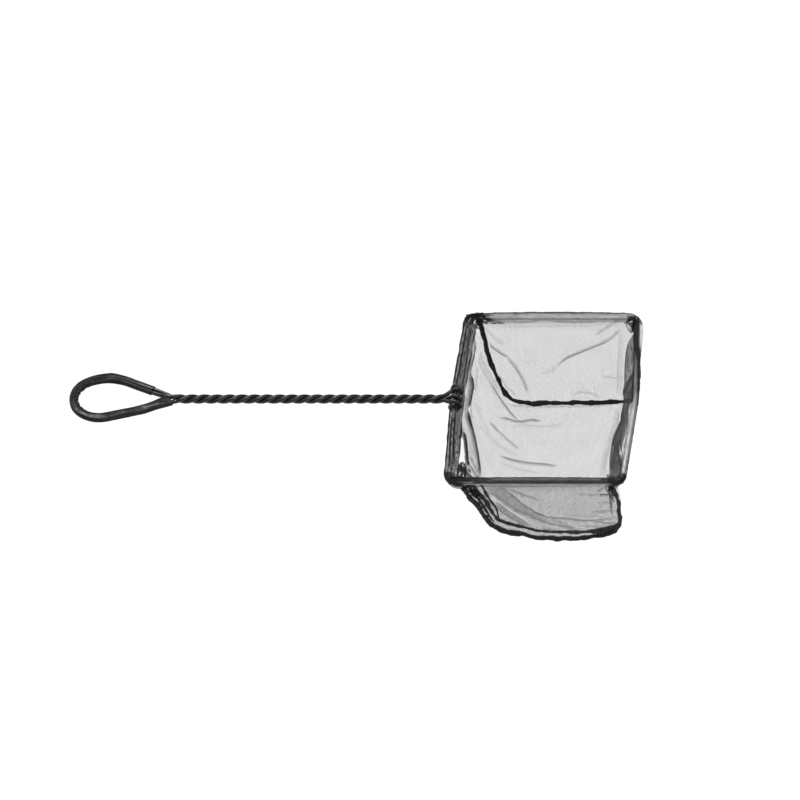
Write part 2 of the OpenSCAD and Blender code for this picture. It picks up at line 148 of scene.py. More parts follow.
def crease(px, py, path, width, half=(0, 0)):
    """1 on a line through the photo's pixels, fading out at its ends. With half given, 1 on the two
    edges of a band that is twice that wide. Also gives the inside of the band."""
    path = np.array(path, float)
    lengths = np.linalg.norm(np.diff(path, axis=0), axis=1)
    total, run = lengths.sum(), 0.0
    best, inside = np.zeros(px.shape), np.zeros(px.shape)
    for a, b, size in zip(path[:-1], path[1:], lengths):
        t = np.clip(((px - a[0]) * (b[0] - a[0]) + (py - a[1]) * (b[1] - a[1])) / size**2, 0, 1)
        gap = np.hypot(px - mix(a[0], b[0], t), py - mix(a[1], b[1], t))
        at = (run + t * size) / total
        fade = np.minimum(1, np.minimum(at, 1 - at) * 6 + 0.2)
        wide = mix(half[0], half[1], at)
        best = np.maximum(best, np.exp(-(((gap - wide) / width) ** 2)) * fade)
        inside = np.maximum(inside, ease(-0.6, 0.6, wide - gap) * fade * (wide > 0))
        run += size
    return best, inside


# Meshes
def add_mesh(name, points, faces, uvs=None, cover_and_painted_light=None, smooth=True):
    mesh = bpy.data.meshes.new(name)
    mesh.from_pydata((np.asarray(points) * MM).tolist(), [], faces)
    if smooth:
        mesh.polygons.foreach_set("use_smooth", [True] * len(mesh.polygons))
    if uvs is not None:
        layer = mesh.uv_layers.new(name="UVMap")
        corners = np.zeros(len(mesh.loops), dtype=np.int32)
        mesh.loops.foreach_get("vertex_index", corners)
        layer.data.foreach_set("uv", (np.asarray(uvs)[corners] * MM).ravel())
    if cover_and_painted_light is not None:
        made = mesh.attributes.new("cover_and_painted_light", "FLOAT", "POINT")
        made.data.foreach_set("value", np.asarray(cover_and_painted_light, float).ravel())
    mesh.update()
    piece = bpy.data.objects.new(name, mesh)
    bpy.context.scene.collection.objects.link(piece)
    return piece


def grid_faces(rows, columns, round_columns):
    steps = columns if round_columns else columns - 1
    i, j = np.meshgrid(np.arange(rows - 1), np.arange(steps), indexing="ij")
    here, beside_it = i * columns + j, i * columns + (j + 1) % columns
    corners = [here, beside_it, beside_it + columns, here + columns]
    return np.stack(corners, axis=-1).reshape(-1, 4).tolist()


def run_lengths(points, axis):
    """Distance along a grid's rows or columns, averaged over the other way."""
    steps = np.linalg.norm(np.diff(points, axis=axis), axis=2).mean(axis=1 - axis)
    return np.concatenate([[0.0], np.cumsum(steps)])


def laid_out(along, across):
    return np.stack(np.meshgrid(along, across, indexing="ij"), axis=-1).reshape(-1, 2)


def cloth(name, points, cover_and_painted_light, round_columns=False):
    """A piece of cloth from a grid of points, with its weave laid along the grid."""
    uvs = laid_out(run_lengths(points, 0), run_lengths(points, 1))
    faces = grid_faces(*points.shape[:2], round_columns)
    return add_mesh(name, points.reshape(-1, 3), faces, uvs, cover_and_painted_light)


def carried_frames(points):
    """Two directions square to a line of points, carried along it without twisting."""
    heading = unit(np.gradient(points, axis=0))
    sides = [unit(UP - (UP @ heading[0]) * heading[0])]
    for h in heading[1:]:
        sides.append(unit(sides[-1] - (sides[-1] @ h) * h))
    sides = np.array(sides)
    return heading, sides, np.cross(heading, sides)


def with_ends(first, line, last):
    return np.concatenate([[first], line, [last]])


def tube(name, points, radius, sides, round_end=0.0, ribs=None, shade=None):
    """A round bar along points, closed at both ends, its radius given once or for each point.
    Gathered mesh has ribs, a share of the radius, and a shade that says how much denser or thinner the mesh
    is along them; the corners' lines add painted shade and painted highlights to it."""
    points = np.asarray(points, float)
    radius = np.broadcast_to(np.asarray(radius, float), (len(points),)).copy()
    heading, up, across = carried_frames(points)
    if round_end:
        points = with_ends(points[0] - heading[0] * round_end, points, points[-1] + heading[-1] * round_end)
        radius = with_ends(radius[0] - round_end, radius, radius[-1] - round_end)
        up, across = (with_ends(v[0], v, v[-1]) for v in (up, across))
    turn = np.linspace(0, 2 * math.pi, sides, endpoint=False)
    size = radius[:, None] * np.ones(sides)
    if ribs:
        share = np.arange(len(points))[:, None] / len(points)
        rib = ribs(share, turn[None, :])
        size = size * (1 + rib)
    ring = up[:, None] * np.cos(turn)[None, :, None] + across[:, None] * np.sin(turn)[None, :, None]
    skin = points[:, None] + ring * size[..., None]
    cover_and_painted_light = shade(rib, share, turn[None, :]) + wrinkled(skin, CORNER_LINES)[1] if ribs else None
    last = (len(points) - 1) * sides
    faces = grid_faces(len(points), sides, True)
    faces += [tuple(range(sides - 1, -1, -1)), tuple(range(last, last + sides))]
    uvs = laid_out(run_lengths(skin, 0), turn * radius.mean())
    return add_mesh(name, skin.reshape(-1, 3), faces, uvs, cover_and_painted_light)


# Materials
class Field:
    """A node's output. Arithmetic on it adds Math nodes, and make() adds any other node."""

    def __init__(self, tree, socket):
        self.tree, self.socket = tree, socket

    def make(self, kind, settings=None, sockets=None, output=0):
        node = self.tree.nodes.new("ShaderNode" + kind)
        for key, value in (settings or {}).items():
            setattr(node, key, value)
        for key, value in (sockets or {}).items():
            if isinstance(value, Field):
                self.tree.links.new(value.socket, node.inputs[key])
            else:
                node.inputs[key].default_value = value
        return Field(self.tree, node.outputs[output])

    def math_node(self, kind, *values):
        return self.make("Math", {"operation": kind}, dict(enumerate(values)))

    def __add__(self, other):
        return self.math_node("ADD", self, other)

    def __sub__(self, other):
        return self.math_node("SUBTRACT", self, other)

    def __mul__(self, other):
        return self.math_node("MULTIPLY", self, other)

    def __rsub__(self, other):
        return self.math_node("SUBTRACT", other, self)

    __radd__, __rmul__ = __add__, __mul__

    def clipped(self):
        return self.make("Clamp", None, {"Value": self})

    def step(self, low, high, bottom=0.0, top=1.0):
        return self.make("MapRange", {"interpolation_type": "SMOOTHSTEP"},
                         {"Value": self, "From Min": low, "From Max": high, "To Min": bottom, "To Max": top})

    def tint(self, dark, light):
        """A colour from dark, where this is 0, to light, where it is 1."""
        return self.make("Mix", {"data_type": "RGBA"}, {0: self, 6: (*dark, 1), 7: (*light, 1)}, 2)

    def scaled(self, by):
        return self.make("VectorMath", {"operation": "MULTIPLY"}, {0: self, 1: by})

    def parts(self):
        outputs = self.make("SeparateXYZ", None, {"Vector": self}).socket.node.outputs
        return Field(self.tree, outputs["X"]), Field(self.tree, outputs["Y"])

    def noise(self, scale, detail, roughness=0.5):
        return self.make("TexNoise", None, {"Vector": self, "Scale": scale, "Detail": detail,
                                            "Roughness": roughness}, "Fac")

    def raised(self, size, strength=1.0):
        """A Bump node on this height, size metres high."""
        return self.make("Bump", None, {"Height": self, "Distance": size, "Strength": strength})


def finish(name, plain, vary):
    """A material whose Principled sockets are plain numbers, or links that vary() gives."""
    material = bpy.data.materials.new(name)
    material.use_nodes = True
    tree = material.node_tree
    shader = tree.nodes["Principled BSDF"]
    for key, value in plain.items():
        shader.inputs[key].default_value = value
    for key, value in vary(Field(tree, None)).items():
        tree.links.new(value.socket, shader.inputs[key])
    return material


def place(field):
    return field.make("TexCoord", None, None, "Object")


def laid(field):
    """The cloth's own directions, in metres."""
    return field.make("UVMap", {"uv_map": "UVMap"})


def grey(value, blue=1.01):
    return (value, value, value * blue)


def coated_wire(field):
    fine, broad = place(field).noise(2600, 3), place(field).noise(160, 3)
    return {"Base Color": broad.step(0.35, 0.75).tint(grey(0.006), grey(0.014)),
            "Roughness": broad.step(0.3, 0.7, 0.26, 0.42), "Normal": (fine * 0.3 + broad).raised(0.00022)}


def grip_vinyl(field):
    broad = place(field).noise(120, 3, 0.5)
    lines = laid(field).scaled((30, 900, 1)).noise(1.0, 2)
    scuffs = laid(field).scaled((400, 90, 1)).noise(1.0, 4, 0.7).step(0.58, 0.74)
    # Lighter along the lengthwise lines, as painted streak highlights; lighter too where the scuffs wear it
    return {"Base Color": (lines.step(0.45, 0.75) * 0.5 + scuffs * 0.5).tint(grey(0.012), grey(0.03)),
            "Roughness": 0.24 + broad * 0.1 + scuffs * 0.15, "Normal": (lines * 0.4 + broad).raised(0.00018)}


def drawn_steel(field):
    lines = laid(field).scaled((40, 2500, 1)).noise(1.0, 3)
    tarnish = place(field).noise(90, 4).step(0.45, 0.7)
    return {"Base Color": tarnish.tint(grey(0.76), grey(0.6)),
            "Roughness": 0.34 + lines * 0.16 + tarnish * 0.15, "Normal": lines.raised(0.00005)}


def weave(field, pitch, slack):
    """1 on a knitted mesh's threads and 0 in its holes, with the threads pulled about a little."""
    cloth_place = laid(field)
    drift = field.make("TexNoise", {"noise_dimensions": "2D"},
                       {"Vector": cloth_place, "Scale": 900.0, "Detail": 2.0}, "Color")
    moved = field.make("VectorMath", {"operation": "MULTIPLY_ADD"},
                       {0: drift, 1: (slack, slack, 0), 2: cloth_place})
    x, y = moved.parts()
    turn = math.pi / pitch
    threads = []
    for run in ((x + y) * turn, (x - y) * turn):
        wave = run.math_node("SINE", run)
        threads.append(wave.math_node("ABSOLUTE", wave).step(0.2, 0.42, 1.0, 0.0))
    return threads[0].math_node("MAXIMUM", threads[0], threads[1])


def mesh_cloth(cover, pitch, dark, light):
    """A finish for knitted mesh. A value that each piece gives for its points is added to how much its
    threads cover: more where the mesh bunches, and as painted shade along creases and edges; less as painted
    highlights.
    """
    def vary(field):
        threads = weave(field, pitch, 0.0003)
        cover_and_painted_light = field.make("Attribute", {"attribute_name": "cover_and_painted_light"}, None, "Fac")
        patch, specks = laid(field).noise(60, 3), laid(field).noise(700, 2)
        open_cover = threads.step(0, 1, cover * 0.5, cover * 1.95)
        alpha = (open_cover + patch * 0.1 + specks * 0.24 - 0.17 + cover_and_painted_light).clipped()
        return {"Base Color": (patch * 0.5 + specks * 0.4).tint(grey(dark), grey(light)),
                "Alpha": alpha, "Roughness": 0.62 + patch * 0.2, "Normal": threads.raised(0.00012, 0.6)}
    return vary


def bound_thread(field):
    stitch = 0.0021
    x, y = laid(field).parts()
    turns = (x + y * 0.35) * (2 * math.pi / stitch)
    fuzz = place(field).noise(1500, 4)
    height = turns.math_node("SINE", turns) * 0.5 + fuzz
    # The stitches' raised turns are lighter in colour: painted highlights on the thread; the fuzz is the
    # thread's own uneven tone
    return {"Base Color": height.step(0.3, 1.2).tint(grey(0.005), grey(0.035)),
            "Roughness": 0.6 + fuzz * 0.25, "Normal": height.raised(0.00035)}


def pale_floor(field):
    return {"Base Color": place(field).noise(3, 3).tint(grey(0.84, 1), grey(0.85, 1))}


COATED = finish("coated_wire", {"Specular IOR Level": 0.4}, coated_wire)
VINYL = finish("grip_vinyl", {"Specular IOR Level": 0.12}, grip_vinyl)
STEEL = finish("drawn_steel", {"Metallic": 0.3}, drawn_steel)
SHEER = finish("sheer_mesh", {"Specular IOR Level": 0.15}, mesh_cloth(0.39, 0.00115, 0.02, 0.075))
CASING = finish("casing_mesh", {"Specular IOR Level": 0.1}, mesh_cloth(0.34, 0.001, 0.005, 0.032))
BINDING = finish("seam_binding", {"Specular IOR Level": 0.2}, bound_thread)
FLOOR = finish("pale_floor", {"Roughness": 0.9, "Specular IOR Level": 0.0}, pale_floor)


def dress(piece, material, slot, *nodes):
    """Puts a piece on the body with its material, in place of the CAD nodes that it stands for."""
    piece.data.materials.append(material)
    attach(piece, "root")
    if nodes:
        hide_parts(*nodes)
    return piece


# Frame
OUTLINE = np.array([NEAR_HANDLE, NEAR_END, END_MIDDLE, FAR_END, FAR_HANDLE, NECK])
BENDS = len(OUTLINE)


def frame_corner(i):
    """Points and headings round one of the frame's bends, about every 3 degrees."""
    a, v, b = OUTLINE[i - 1], OUTLINE[i], OUTLINE[(i + 1) % BENDS]
    into, out = unit(v - a), unit(b - v)
    start = math.atan2(into[1], into[0])
    turn = (math.atan2(out[1], out[0]) - start) % (2 * math.pi)
    left = np.array([-into[1], into[0]])
    centre = v - into * CORNER_R * math.tan(turn / 2) + left * CORNER_R
    angles = start + turn * np.linspace(0, 1, max(3, int(math.degrees(turn) / 3)))
    return centre + CORNER_R * np.stack([np.sin(angles), -np.cos(angles)], axis=1), angles


def frame_run(first, last, step, before=0.0, beyond=0.0):
    """Evenly spaced points on the frame wire from bend first to bend last, and a little further."""
    rows = []
    for i in range(first, last + 1):
        rows += [[*p, a] for p, a in zip(*frame_corner(i % BENDS))]
    rows = np.array(rows)
    rows[:, 2] = np.unwrap(rows[:, 2])
    for end, by in ((0, -before), (-1, beyond)):
        if by:
            x, y, a = rows[end]
            extra = [[x + by * math.cos(a), y + by * math.sin(a), a]]
            rows = np.concatenate([extra, rows] if end == 0 else [rows, extra])
    run = run_of(rows[:, :2])
    keep = np.concatenate([[True], np.diff(run) > 1e-6])
    run, rows = run[keep], rows[keep]
    at = np.linspace(0, run[-1], max(4, int(run[-1] / step)))
    return at, np.stack([np.interp(at, run, rows[:, k]) for k in range(3)], axis=1)


def beside(stations, left, up):
    """Points to the left of the stations and above them."""
    away = way_at(stations[:, 2] + math.pi / 2)[:, None]
    flat = stations[:, :2][:, None] + away * left[..., None]
    return np.concatenate([flat, np.broadcast_to(up, left.shape)[..., None]], axis=2)


def make_frame_wire():
    ring = frame_run(0, BENDS, 1.2)[1][:-1, :2]
    points = np.column_stack([ring, np.zeros(len(ring))])
    dress(tube("frame_ring", points, WIRE_D / 2, 20), STEEL, "steel_wire", "frame_wire")


# Handle wires
TWIST_R, TWIST_FROM, TWIST_TO = STRAND_D * 0.61, 51.0, 222.3
TWIST_RATE = (7 * 360 + 7) / (TWIST_TO - TWIST_FROM)  # degrees in a millimetre
PHASES = (60, 180, 300)
# How far the sleeve's upper and lower mouth lie from the branches' root, how far a wire lies beside its
# branch's centreline and stands out of the sleeve, and how far the third wire's end reaches into it
GAP_UP, GAP_DOWN, WIRE_OUT, WIRE_STEP, TAIL_IN = 12.5, 2.5, 1.5, 0.5, 14
# A hook starts at this angle, moves sideways this much in a turn and stays this clear of the frame
# wire. Two hooks go a little more than once round it, and one a little more than half.
HOOK_FROM, HOOK_PITCH, HOOK_CLEAR, FULL_HOOK, HALF_HOOK = 50, 3.1, 0.1, 400, 200
FAR_HOOK_AT, NEAR_HOOK_AT, LEAD_POINTS = 6.0, 5.0, 22


def on_twist(k, x):
    """The centre of strand k in the twist, at x."""
    a = np.radians(PHASES[k] - TWIST_RATE * (x - TWIST_FROM))
    return np.stack([x, TWIST_R * np.cos(a), TWIST_R * np.sin(a)], axis=-1)


def twist_heading(k, x):
    return unit(on_twist(k, np.array(x + 0.01)) - on_twist(k, np.array(x - 0.01)))


def blend(p0, h0, p1, h1, count):
    """A smooth line from p0, where it heads along h0, to p1, where it heads along h1."""
    t = np.linspace(0, 1, count)[:, None]
    reach = np.linalg.norm(p1 - p0)
    return (p0 * (2 * t**3 - 3 * t**2 + 1) + h0 * reach * (t**3 - 2 * t**2 + t)
            + p1 * (3 * t**2 - 2 * t**3) + h1 * reach * (t**3 - t**2))


def loop_geometry():
    """The loop's crown arc, the roots of its two branches, and where they leave its arcs."""
    from_crown = math.radians(CROWN_FROM)
    crown = (LOOP_R - CROWN_R) * way_at(from_crown)
    upper, lower = np.array([ROOT[0], ROOT[1]]), np.array([ROOT[0], ROOT[2]])

    def tangent(centre, radius, point, side):
        away = point - centre
        return math.atan2(away[1], away[0]) + side * math.acos(radius / np.linalg.norm(away))

    a = tangent(crown, CROWN_R, upper, 1)
    b = tangent(np.zeros(2), LOOP_R, lower, -1)
    return crown, upper, lower, a, b, crown + CROWN_R * way_at(a), LOOP_R * way_at(b)


CROWN, ROOT_UP, ROOT_DOWN, UP_ANGLE, DOWN_ANGLE, UP_FOOT, DOWN_FOOT = loop_geometry()
UP_WAY, DOWN_WAY = unit(ROOT_UP - UP_FOOT), unit(ROOT_DOWN - DOWN_FOOT)
UP_OUT, DOWN_OUT = np.array([-UP_WAY[1], UP_WAY[0]]), np.array([DOWN_WAY[1], -DOWN_WAY[0]])


def level(v):
    """A flat place or direction, at the height of the frame."""
    return np.array([v[0], v[1], 0.0])


def pair_points(side):
    """From the sleeve's upper mouth to the twist, for the inner (-1) or the outer (1) of two wires."""
    start = level(ROOT_UP - UP_WAY * (GAP_UP - WIRE_STEP))
    end = (on_twist(0, np.array(TWIST_FROM)) + on_twist(2, np.array(TWIST_FROM))) / 2
    rise = unit(np.array([1, 0, -TWIST_R / 2 * math.radians(TWIST_RATE)]))
    middle = blend(start, level(UP_WAY), end, rise, LEAD_POINTS)
    t = np.linspace(0, 1, LEAD_POINTS)[:, None]
    turn = np.radians(90 * t * t)
    wide = mix(WIRE_OUT, TWIST_R * math.sin(math.radians(PHASES[0])), t)
    return middle + side * wide * (np.cos(turn) * level(UP_OUT) - np.sin(turn) * UP)


def hook_points(k, way, off, arc):
    """From the end of the twist round the frame wire."""
    radius = (WIRE_D + STRAND_D) / 2 + HOOK_CLEAR
    across = unit(np.array([way[1], -way[0], 0])) * (1 if way[1] > 0 else -1)
    a = np.radians(HOOK_FROM + np.linspace(0, arc, 60))[:, None]
    wrap = (level(NECK) + way * (off + HOOK_PITCH * (np.degrees(a) - HOOK_FROM) / 360)
            - across * radius * np.cos(a) + radius * np.sin(a) * UP)
    start = on_twist(k, np.array(TWIST_TO))
    lead = blend(start, twist_heading(k, TWIST_TO), wrap[0], unit(wrap[1] - wrap[0]), 16)
    return np.concatenate([lead[1:], wrap[1:]])


def make_strands():
    x = np.linspace(TWIST_FROM, TWIST_TO, 300)
    far_way, near_way = (level(unit(np.array(corner) - NECK)) for corner in (FAR_HANDLE, NEAR_HANDLE))
    lower_start = level(ROOT_DOWN - DOWN_WAY * (GAP_DOWN - WIRE_STEP) - DOWN_OUT * WIRE_OUT)
    twist_start, twist_way = on_twist(1, np.array(TWIST_FROM)), twist_heading(1, TWIST_FROM)
    lower = blend(lower_start, level(DOWN_WAY), twist_start, twist_way, LEAD_POINTS)
    tail = level(ROOT_UP - UP_WAY * (GAP_UP - WIRE_STEP + TAIL_IN) + UP_OUT * WIRE_OUT)
    middle = pair_points(1)
    tail_run = mix(tail, middle[0], np.linspace(0, 1, 12)[:-1, None])
    routes = {
        "strand_upper": (pair_points(-1), 0, hook_points(0, far_way, FAR_HOOK_AT, FULL_HOOK)),
        "strand_lower": (lower, 1, hook_points(1, near_way, NEAR_HOOK_AT, FULL_HOOK)),
        "strand_middle": (np.concatenate([tail_run, middle]), 2, hook_points(2, near_way, 0.0, HALF_HOOK)),
    }
    for node, (entry, k, hook) in routes.items():
        route = np.concatenate([entry[:-1], on_twist(k, x), hook])
        dress(tube(node + "_wire", route, STRAND_D / 2, 16, round_end=0.25), COATED, "coated_wire", node)


# Grip sleeve: half its width and height, its bore's share of them, and the steps of ribs and kinks
SLEEVE_WIDE, SLEEVE_HIGH, BORE_WIDE, BORE_HIGH, RIB_STEP, KINK_STEP = 3.45, 2.0, 0.86, 0.72, 2.7, 4.6


def loop_line(bare_up, bare_down):
    """Centreline of the loop from the upper branch round to the lower one."""
    crown_end = math.radians(CROWN_FROM)
    upper = mix(ROOT_UP - UP_WAY * bare_up, UP_FOOT, np.linspace(0, 1, 40)[:-1, None])
    crown = CROWN + CROWN_R * way_at(np.linspace(UP_ANGLE, crown_end, 40)[:-1])
    round_end = LOOP_R * way_at(np.linspace(crown_end, 2 * math.pi + DOWN_ANGLE, 110)[:-1])
    lower = mix(DOWN_FOOT, ROOT_DOWN - DOWN_WAY * bare_down, np.linspace(0, 1, 60)[:, None])
    return evenly(np.concatenate([upper, crown, round_end, lower]), 300)


def make_sleeve():
    """Flattened tube over the loop: ribbed by the wires inside, kinked on the inner side of the round
    end, and flared and lifted where its lower branch ends."""
    line = loop_line(GAP_UP + 0.3, -0.6)
    at = run_of(line)
    x, y = line[:, 0].copy(), line[:, 1].copy()
    upper, lower = y > 0, y < 0
    lift, flare = ease(26, 46, x) * lower, ease(34, 45, x) * lower
    line[:, 1] += 1.9 * lift
    heading = unit(np.gradient(line, axis=0))
    out = np.stack([heading[:, 1], -heading[:, 0]], axis=1)
    turn_end = np.exp(-((np.hypot(x + 17, y - 1) / 13.0) ** 2))
    crest, peak = bump(6, 12.0, x) * upper, bump(6.5, 4.0, x) * upper
    wide = SLEEVE_WIDE + 0.55 * crest + 0.35 * peak - 0.35 * turn_end + flare + 0.1 * ripple(at, 3, 5, 24)
    ridged = upper * ease(-14, 4, x) + 0.5 * turn_end
    shift = 0.5 * crest + 0.35 * peak - 0.3 * turn_end
    sides, run = 56, at[:, None]
    a = np.linspace(0, 2 * math.pi, sides, endpoint=False)[None, :]
    across, tall = powered(np.cos(a), 0.8), powered(np.sin(a), 0.62)
    off = across * wide[:, None]
    ribs = np.cos(off * (2 * math.pi / RIB_STEP) + 0.5 * ripple(run, 7, 20, 60)) * 0.42 - 0.3
    soft = 0.14 * waves(run, off * 1.6, 8, 9, 30) + 0.04 * waves(run, off * 2, 9, 3, 7)
    inner = ease(0.1, 1.0, -across) * turn_end[:, None]
    kinks = np.abs(np.sin(run * (math.pi / KINK_STEP) + 0.9 + 0.8 * np.sin(run * 0.31))) ** 0.6
    high = SLEEVE_HIGH + ribs * ridged[:, None] + soft - 0.6 * inner * (1 - kinks) - 0.5 * flare[:, None]
    off = off + shift[:, None] + inner * (1 - kinks) * 1.5

    def layer(wide_by, high_by):
        flat = line[:, None] + out[:, None] * (off * wide_by)[..., None]
        return np.concatenate([flat, (tall * high * high_by + (1.3 * lift)[:, None])[..., None]], axis=2)

    skin, bore = layer(1.0, 1.0), layer(BORE_WIDE, BORE_HIGH)
    full = np.concatenate([bore[:9][::-1], skin, bore[-9:][::-1]])
    uvs = laid_out(run_lengths(full, 0), a[0] * 3.2)
    piece = add_mesh("loop_sleeve", full.reshape(-1, 3), grid_faces(len(full), sides, True), uvs)
    dress(piece, VINYL, "grip_vinyl", "grip_sleeve")


# Bag
def on_panel(side, edge):
    """Points of the model, from [along, down] in a side panel's plane."""
    a = math.atan2(side["lean"], BAG_DEPTH - BAG_TOP)
    x, y = side["corner"]
    return np.stack([x + edge[..., 0], y + edge[..., 1] * math.sin(a),
                     -BAG_TOP + edge[..., 1] * math.cos(a)], axis=-1)


def inward(side):
    """Square to a panel, into the bag."""
    a = math.atan2(side["lean"], BAG_DEPTH - BAG_TOP)
    return math.copysign(1, a) * np.array([0, -math.cos(a), math.sin(a)])


def from_photo(side, path):
    """Where the photo's pixels path lies on a side panel, as [along, down]."""
    across, below = ((np.array(path, float) - PHOTO / 2) * PIXEL).T[..., None]
    eye = AIM - AHEAD * CAMERA_FAR
    rays = AHEAD * CAMERA_FAR + ALONG * across - OVERHEAD * below
    corner, square = on_panel(side, np.zeros(2)), inward(side)
    hits = eye + rays * (((corner - eye) @ square) / (rays @ square))[:, None]
    down = on_panel(side, np.array([0.0, 1.0])) - corner
    return np.stack([(hits - corner) @ ALONG, (hits - corner) @ down], axis=1)


# The bound seams as they run in the photo, from the handle side over the floor to the end
FAR_SEAM = [(478.5, 322.5), (480.6, 326), (482.5, 332.5), (485, 342.5), (487.5, 353.3), (490.8, 364.2),
            (496, 374.2), (500, 384.2), (505.3, 393.5), (512, 399.5), (520, 402), (528.3, 403), (533, 404),
            (545, 402.6), (560, 403.2), (576, 402.5), (590, 403), (605, 402.4), (615, 402), (623, 401.6),
            (630, 400.6), (635, 397.8), (637.6, 392), (638.4, 380), (638.4, 365), (637.2, 350), (635.6, 338),
            (634.3, 327.5)]
NEAR_SEAM = [(463.3, 487.5), (465.3, 491.6), (471.4, 499.4), (476, 503.7), (481.4, 511.6), (487.1, 520.1),
             (495, 527.3), (505, 531.4), (515.7, 533.2), (522.9, 533.9), (530, 536.4), (537.1, 537.6),
             (555, 538.3), (568.6, 538.8), (582.9, 538), (593.6, 536.3), (606, 534.6), (614.5, 530.5),
             (619.6, 524), (620, 519.5), (619, 512), (619.2, 506), (618, 500.5), (616, 495), (613, 490),
             (611, 487.5)]


def seam_stretches(side, seam):
    """The seam in its panel's plane, in five stretches: wall, heel, floor, toe, end."""
    line = evenly(rounded_line(from_photo(side, seam), 0.25, 1.6), 900)
    last, depth = len(line) - 1, line[:, 1] / line[:, 1].min()

    def first_below(share, of=depth):
        return int(np.argmax(of > share))

    wall_stops, floor_level, end_starts = 0.62, 0.955, 0.8  # as shares of the bag's depth
    cuts = [0, first_below(wall_stops), first_below(floor_level),
            last - first_below(floor_level, depth[::-1]), last - first_below(end_starts, depth[::-1]), last]
    counts = [70, 50, 120, 26, 110]
    parts = [evenly(line[a:b + 1], n + 1)[:-1] for a, b, n in zip(cuts[:-1], cuts[1:], counts)]
    return np.concatenate(parts + [line[-1:]]), np.cumsum(counts)


FAR_EDGE, STRETCHES = seam_stretches(FAR, FAR_SEAM)
NEAR_EDGE, _ = seam_stretches(NEAR, NEAR_SEAM)
NEAR_EDGE[0, 1] = FAR_EDGE[0, 1] = NEAR_EDGE[-1, 1] = FAR_EDGE[-1, 1] = 0.0

# Wrinkles, as lines through the photo's pixels: path, width, height, darkness (below 0 lighter) and,
# where the line is a band, half its width at the start and at the end. The darkness makes the mesh denser
# along the line, partly for its folded layers and partly as painted shade in the crease; below 0 it makes
# it thinner, as a painted highlight
FAR_WRINKLES = [
    ([(541, 373.5), (551, 371.5), (560, 364)], 2.2, 0.8, 0.1),
    ([(558, 366), (566, 360), (575, 355.5), (590, 349.5), (600, 344.5), (611, 338)], 1.1, 1.6, 0.5),
    ([(600, 344), (612, 337), (620, 329)], 1.4, 1.0, 0.25),
    ([(595, 335), (606, 328), (615, 322), (624, 320)], 1.4, 0.9, 0.2),
    ([(489, 344), (497.5, 351), (503.3, 355), (508, 357.7)], 1.1, 1.2, 0.42),
    ([(507, 357), (515, 366.7), (520, 375), (524.2, 382.5), (528, 394)], 1.5, 1.2, 0.3),
    ([(485, 328), (490, 333), (497, 340), (505, 346)], 1.4, 0.7, 0.12),
    ([(497, 372), (502, 380), (508, 388), (517, 396)], 1.0, 0.6, 0.15),
    ([(602, 377), (612, 378.2), (627, 378)], 1.1, 0.6, 0.14),
    ([(572, 396), (580, 392.5), (590, 393.5), (600, 397)], 1.2, 0.7, 0.14),
    ([(620.5, 328), (619.5, 350), (618, 372), (617.5, 396)], 1.3, 0.7, 0.13),
    ([(622.7, 335), (621.5, 360), (620.5, 396)], 0.9, 0.4, 0.1),
    ([(500, 324), (530, 322.5), (570, 322), (610, 323)], 1.4, 0.5, 0.12),
    ([(500, 327.5), (540, 326), (580, 326), (600, 327)], 1.2, 0.4, 0.07),
]
FLOOR_WRINKLES = [
    ([(500, 418), (508, 419.5), (515, 422), (522, 422.5), (531, 420.5), (541, 421.5)], 1.0, 1.5, 0.5),
    ([(512, 427), (525, 425.5), (540, 427), (556, 426), (566, 423)], 1.4, 0.8, 0.1),
    ([(490, 423), (495.5, 428.5), (499, 433)], 1.0, 1.0, 0.4),
    ([(499, 432), (507, 440), (518, 449)], 1.2, 1.3, 0.28),
    ([(500, 456), (508, 459.5), (518, 462), (530, 464), (545, 465), (557, 466.5)], 1.1, 1.5, 0.5),
    ([(500, 463), (520, 470), (540, 474)], 1.3, 0.8, 0.1),
    ([(490, 384), (495.5, 392), (502.5, 402.5), (510, 413), (518, 421)], 1.0, 1.2, 0.45),
    ([(475, 347), (480.7, 361.7), (486, 372), (493.3, 384), (498, 395)], 1.0, 0.8, 0.16, (2.2, 2.6)),
    ([(505, 404.5), (520, 406.2), (545, 406.5), (580, 406), (612, 405.5)], 1.3, 0.6, 0.2),
    ([(619, 408), (617.5, 424), (611, 440), (606, 456), (603.5, 477)], 1.5, 0.8, 0.2),
    ([(616, 408), (614.5, 424), (607.5, 442), (602.5, 460), (600, 478)], 1.0, 0.5, 0.12),
    ([(478, 425), (490, 437), (500, 447), (520, 458)], 1.8, 0.7, 0.08),
    ([(476, 404), (482, 420), (492, 440)], 1.8, 0.7, 0.08),
    ([(486, 352), (492, 364), (497, 372)], 1.0, 0.6, 0.18),
]
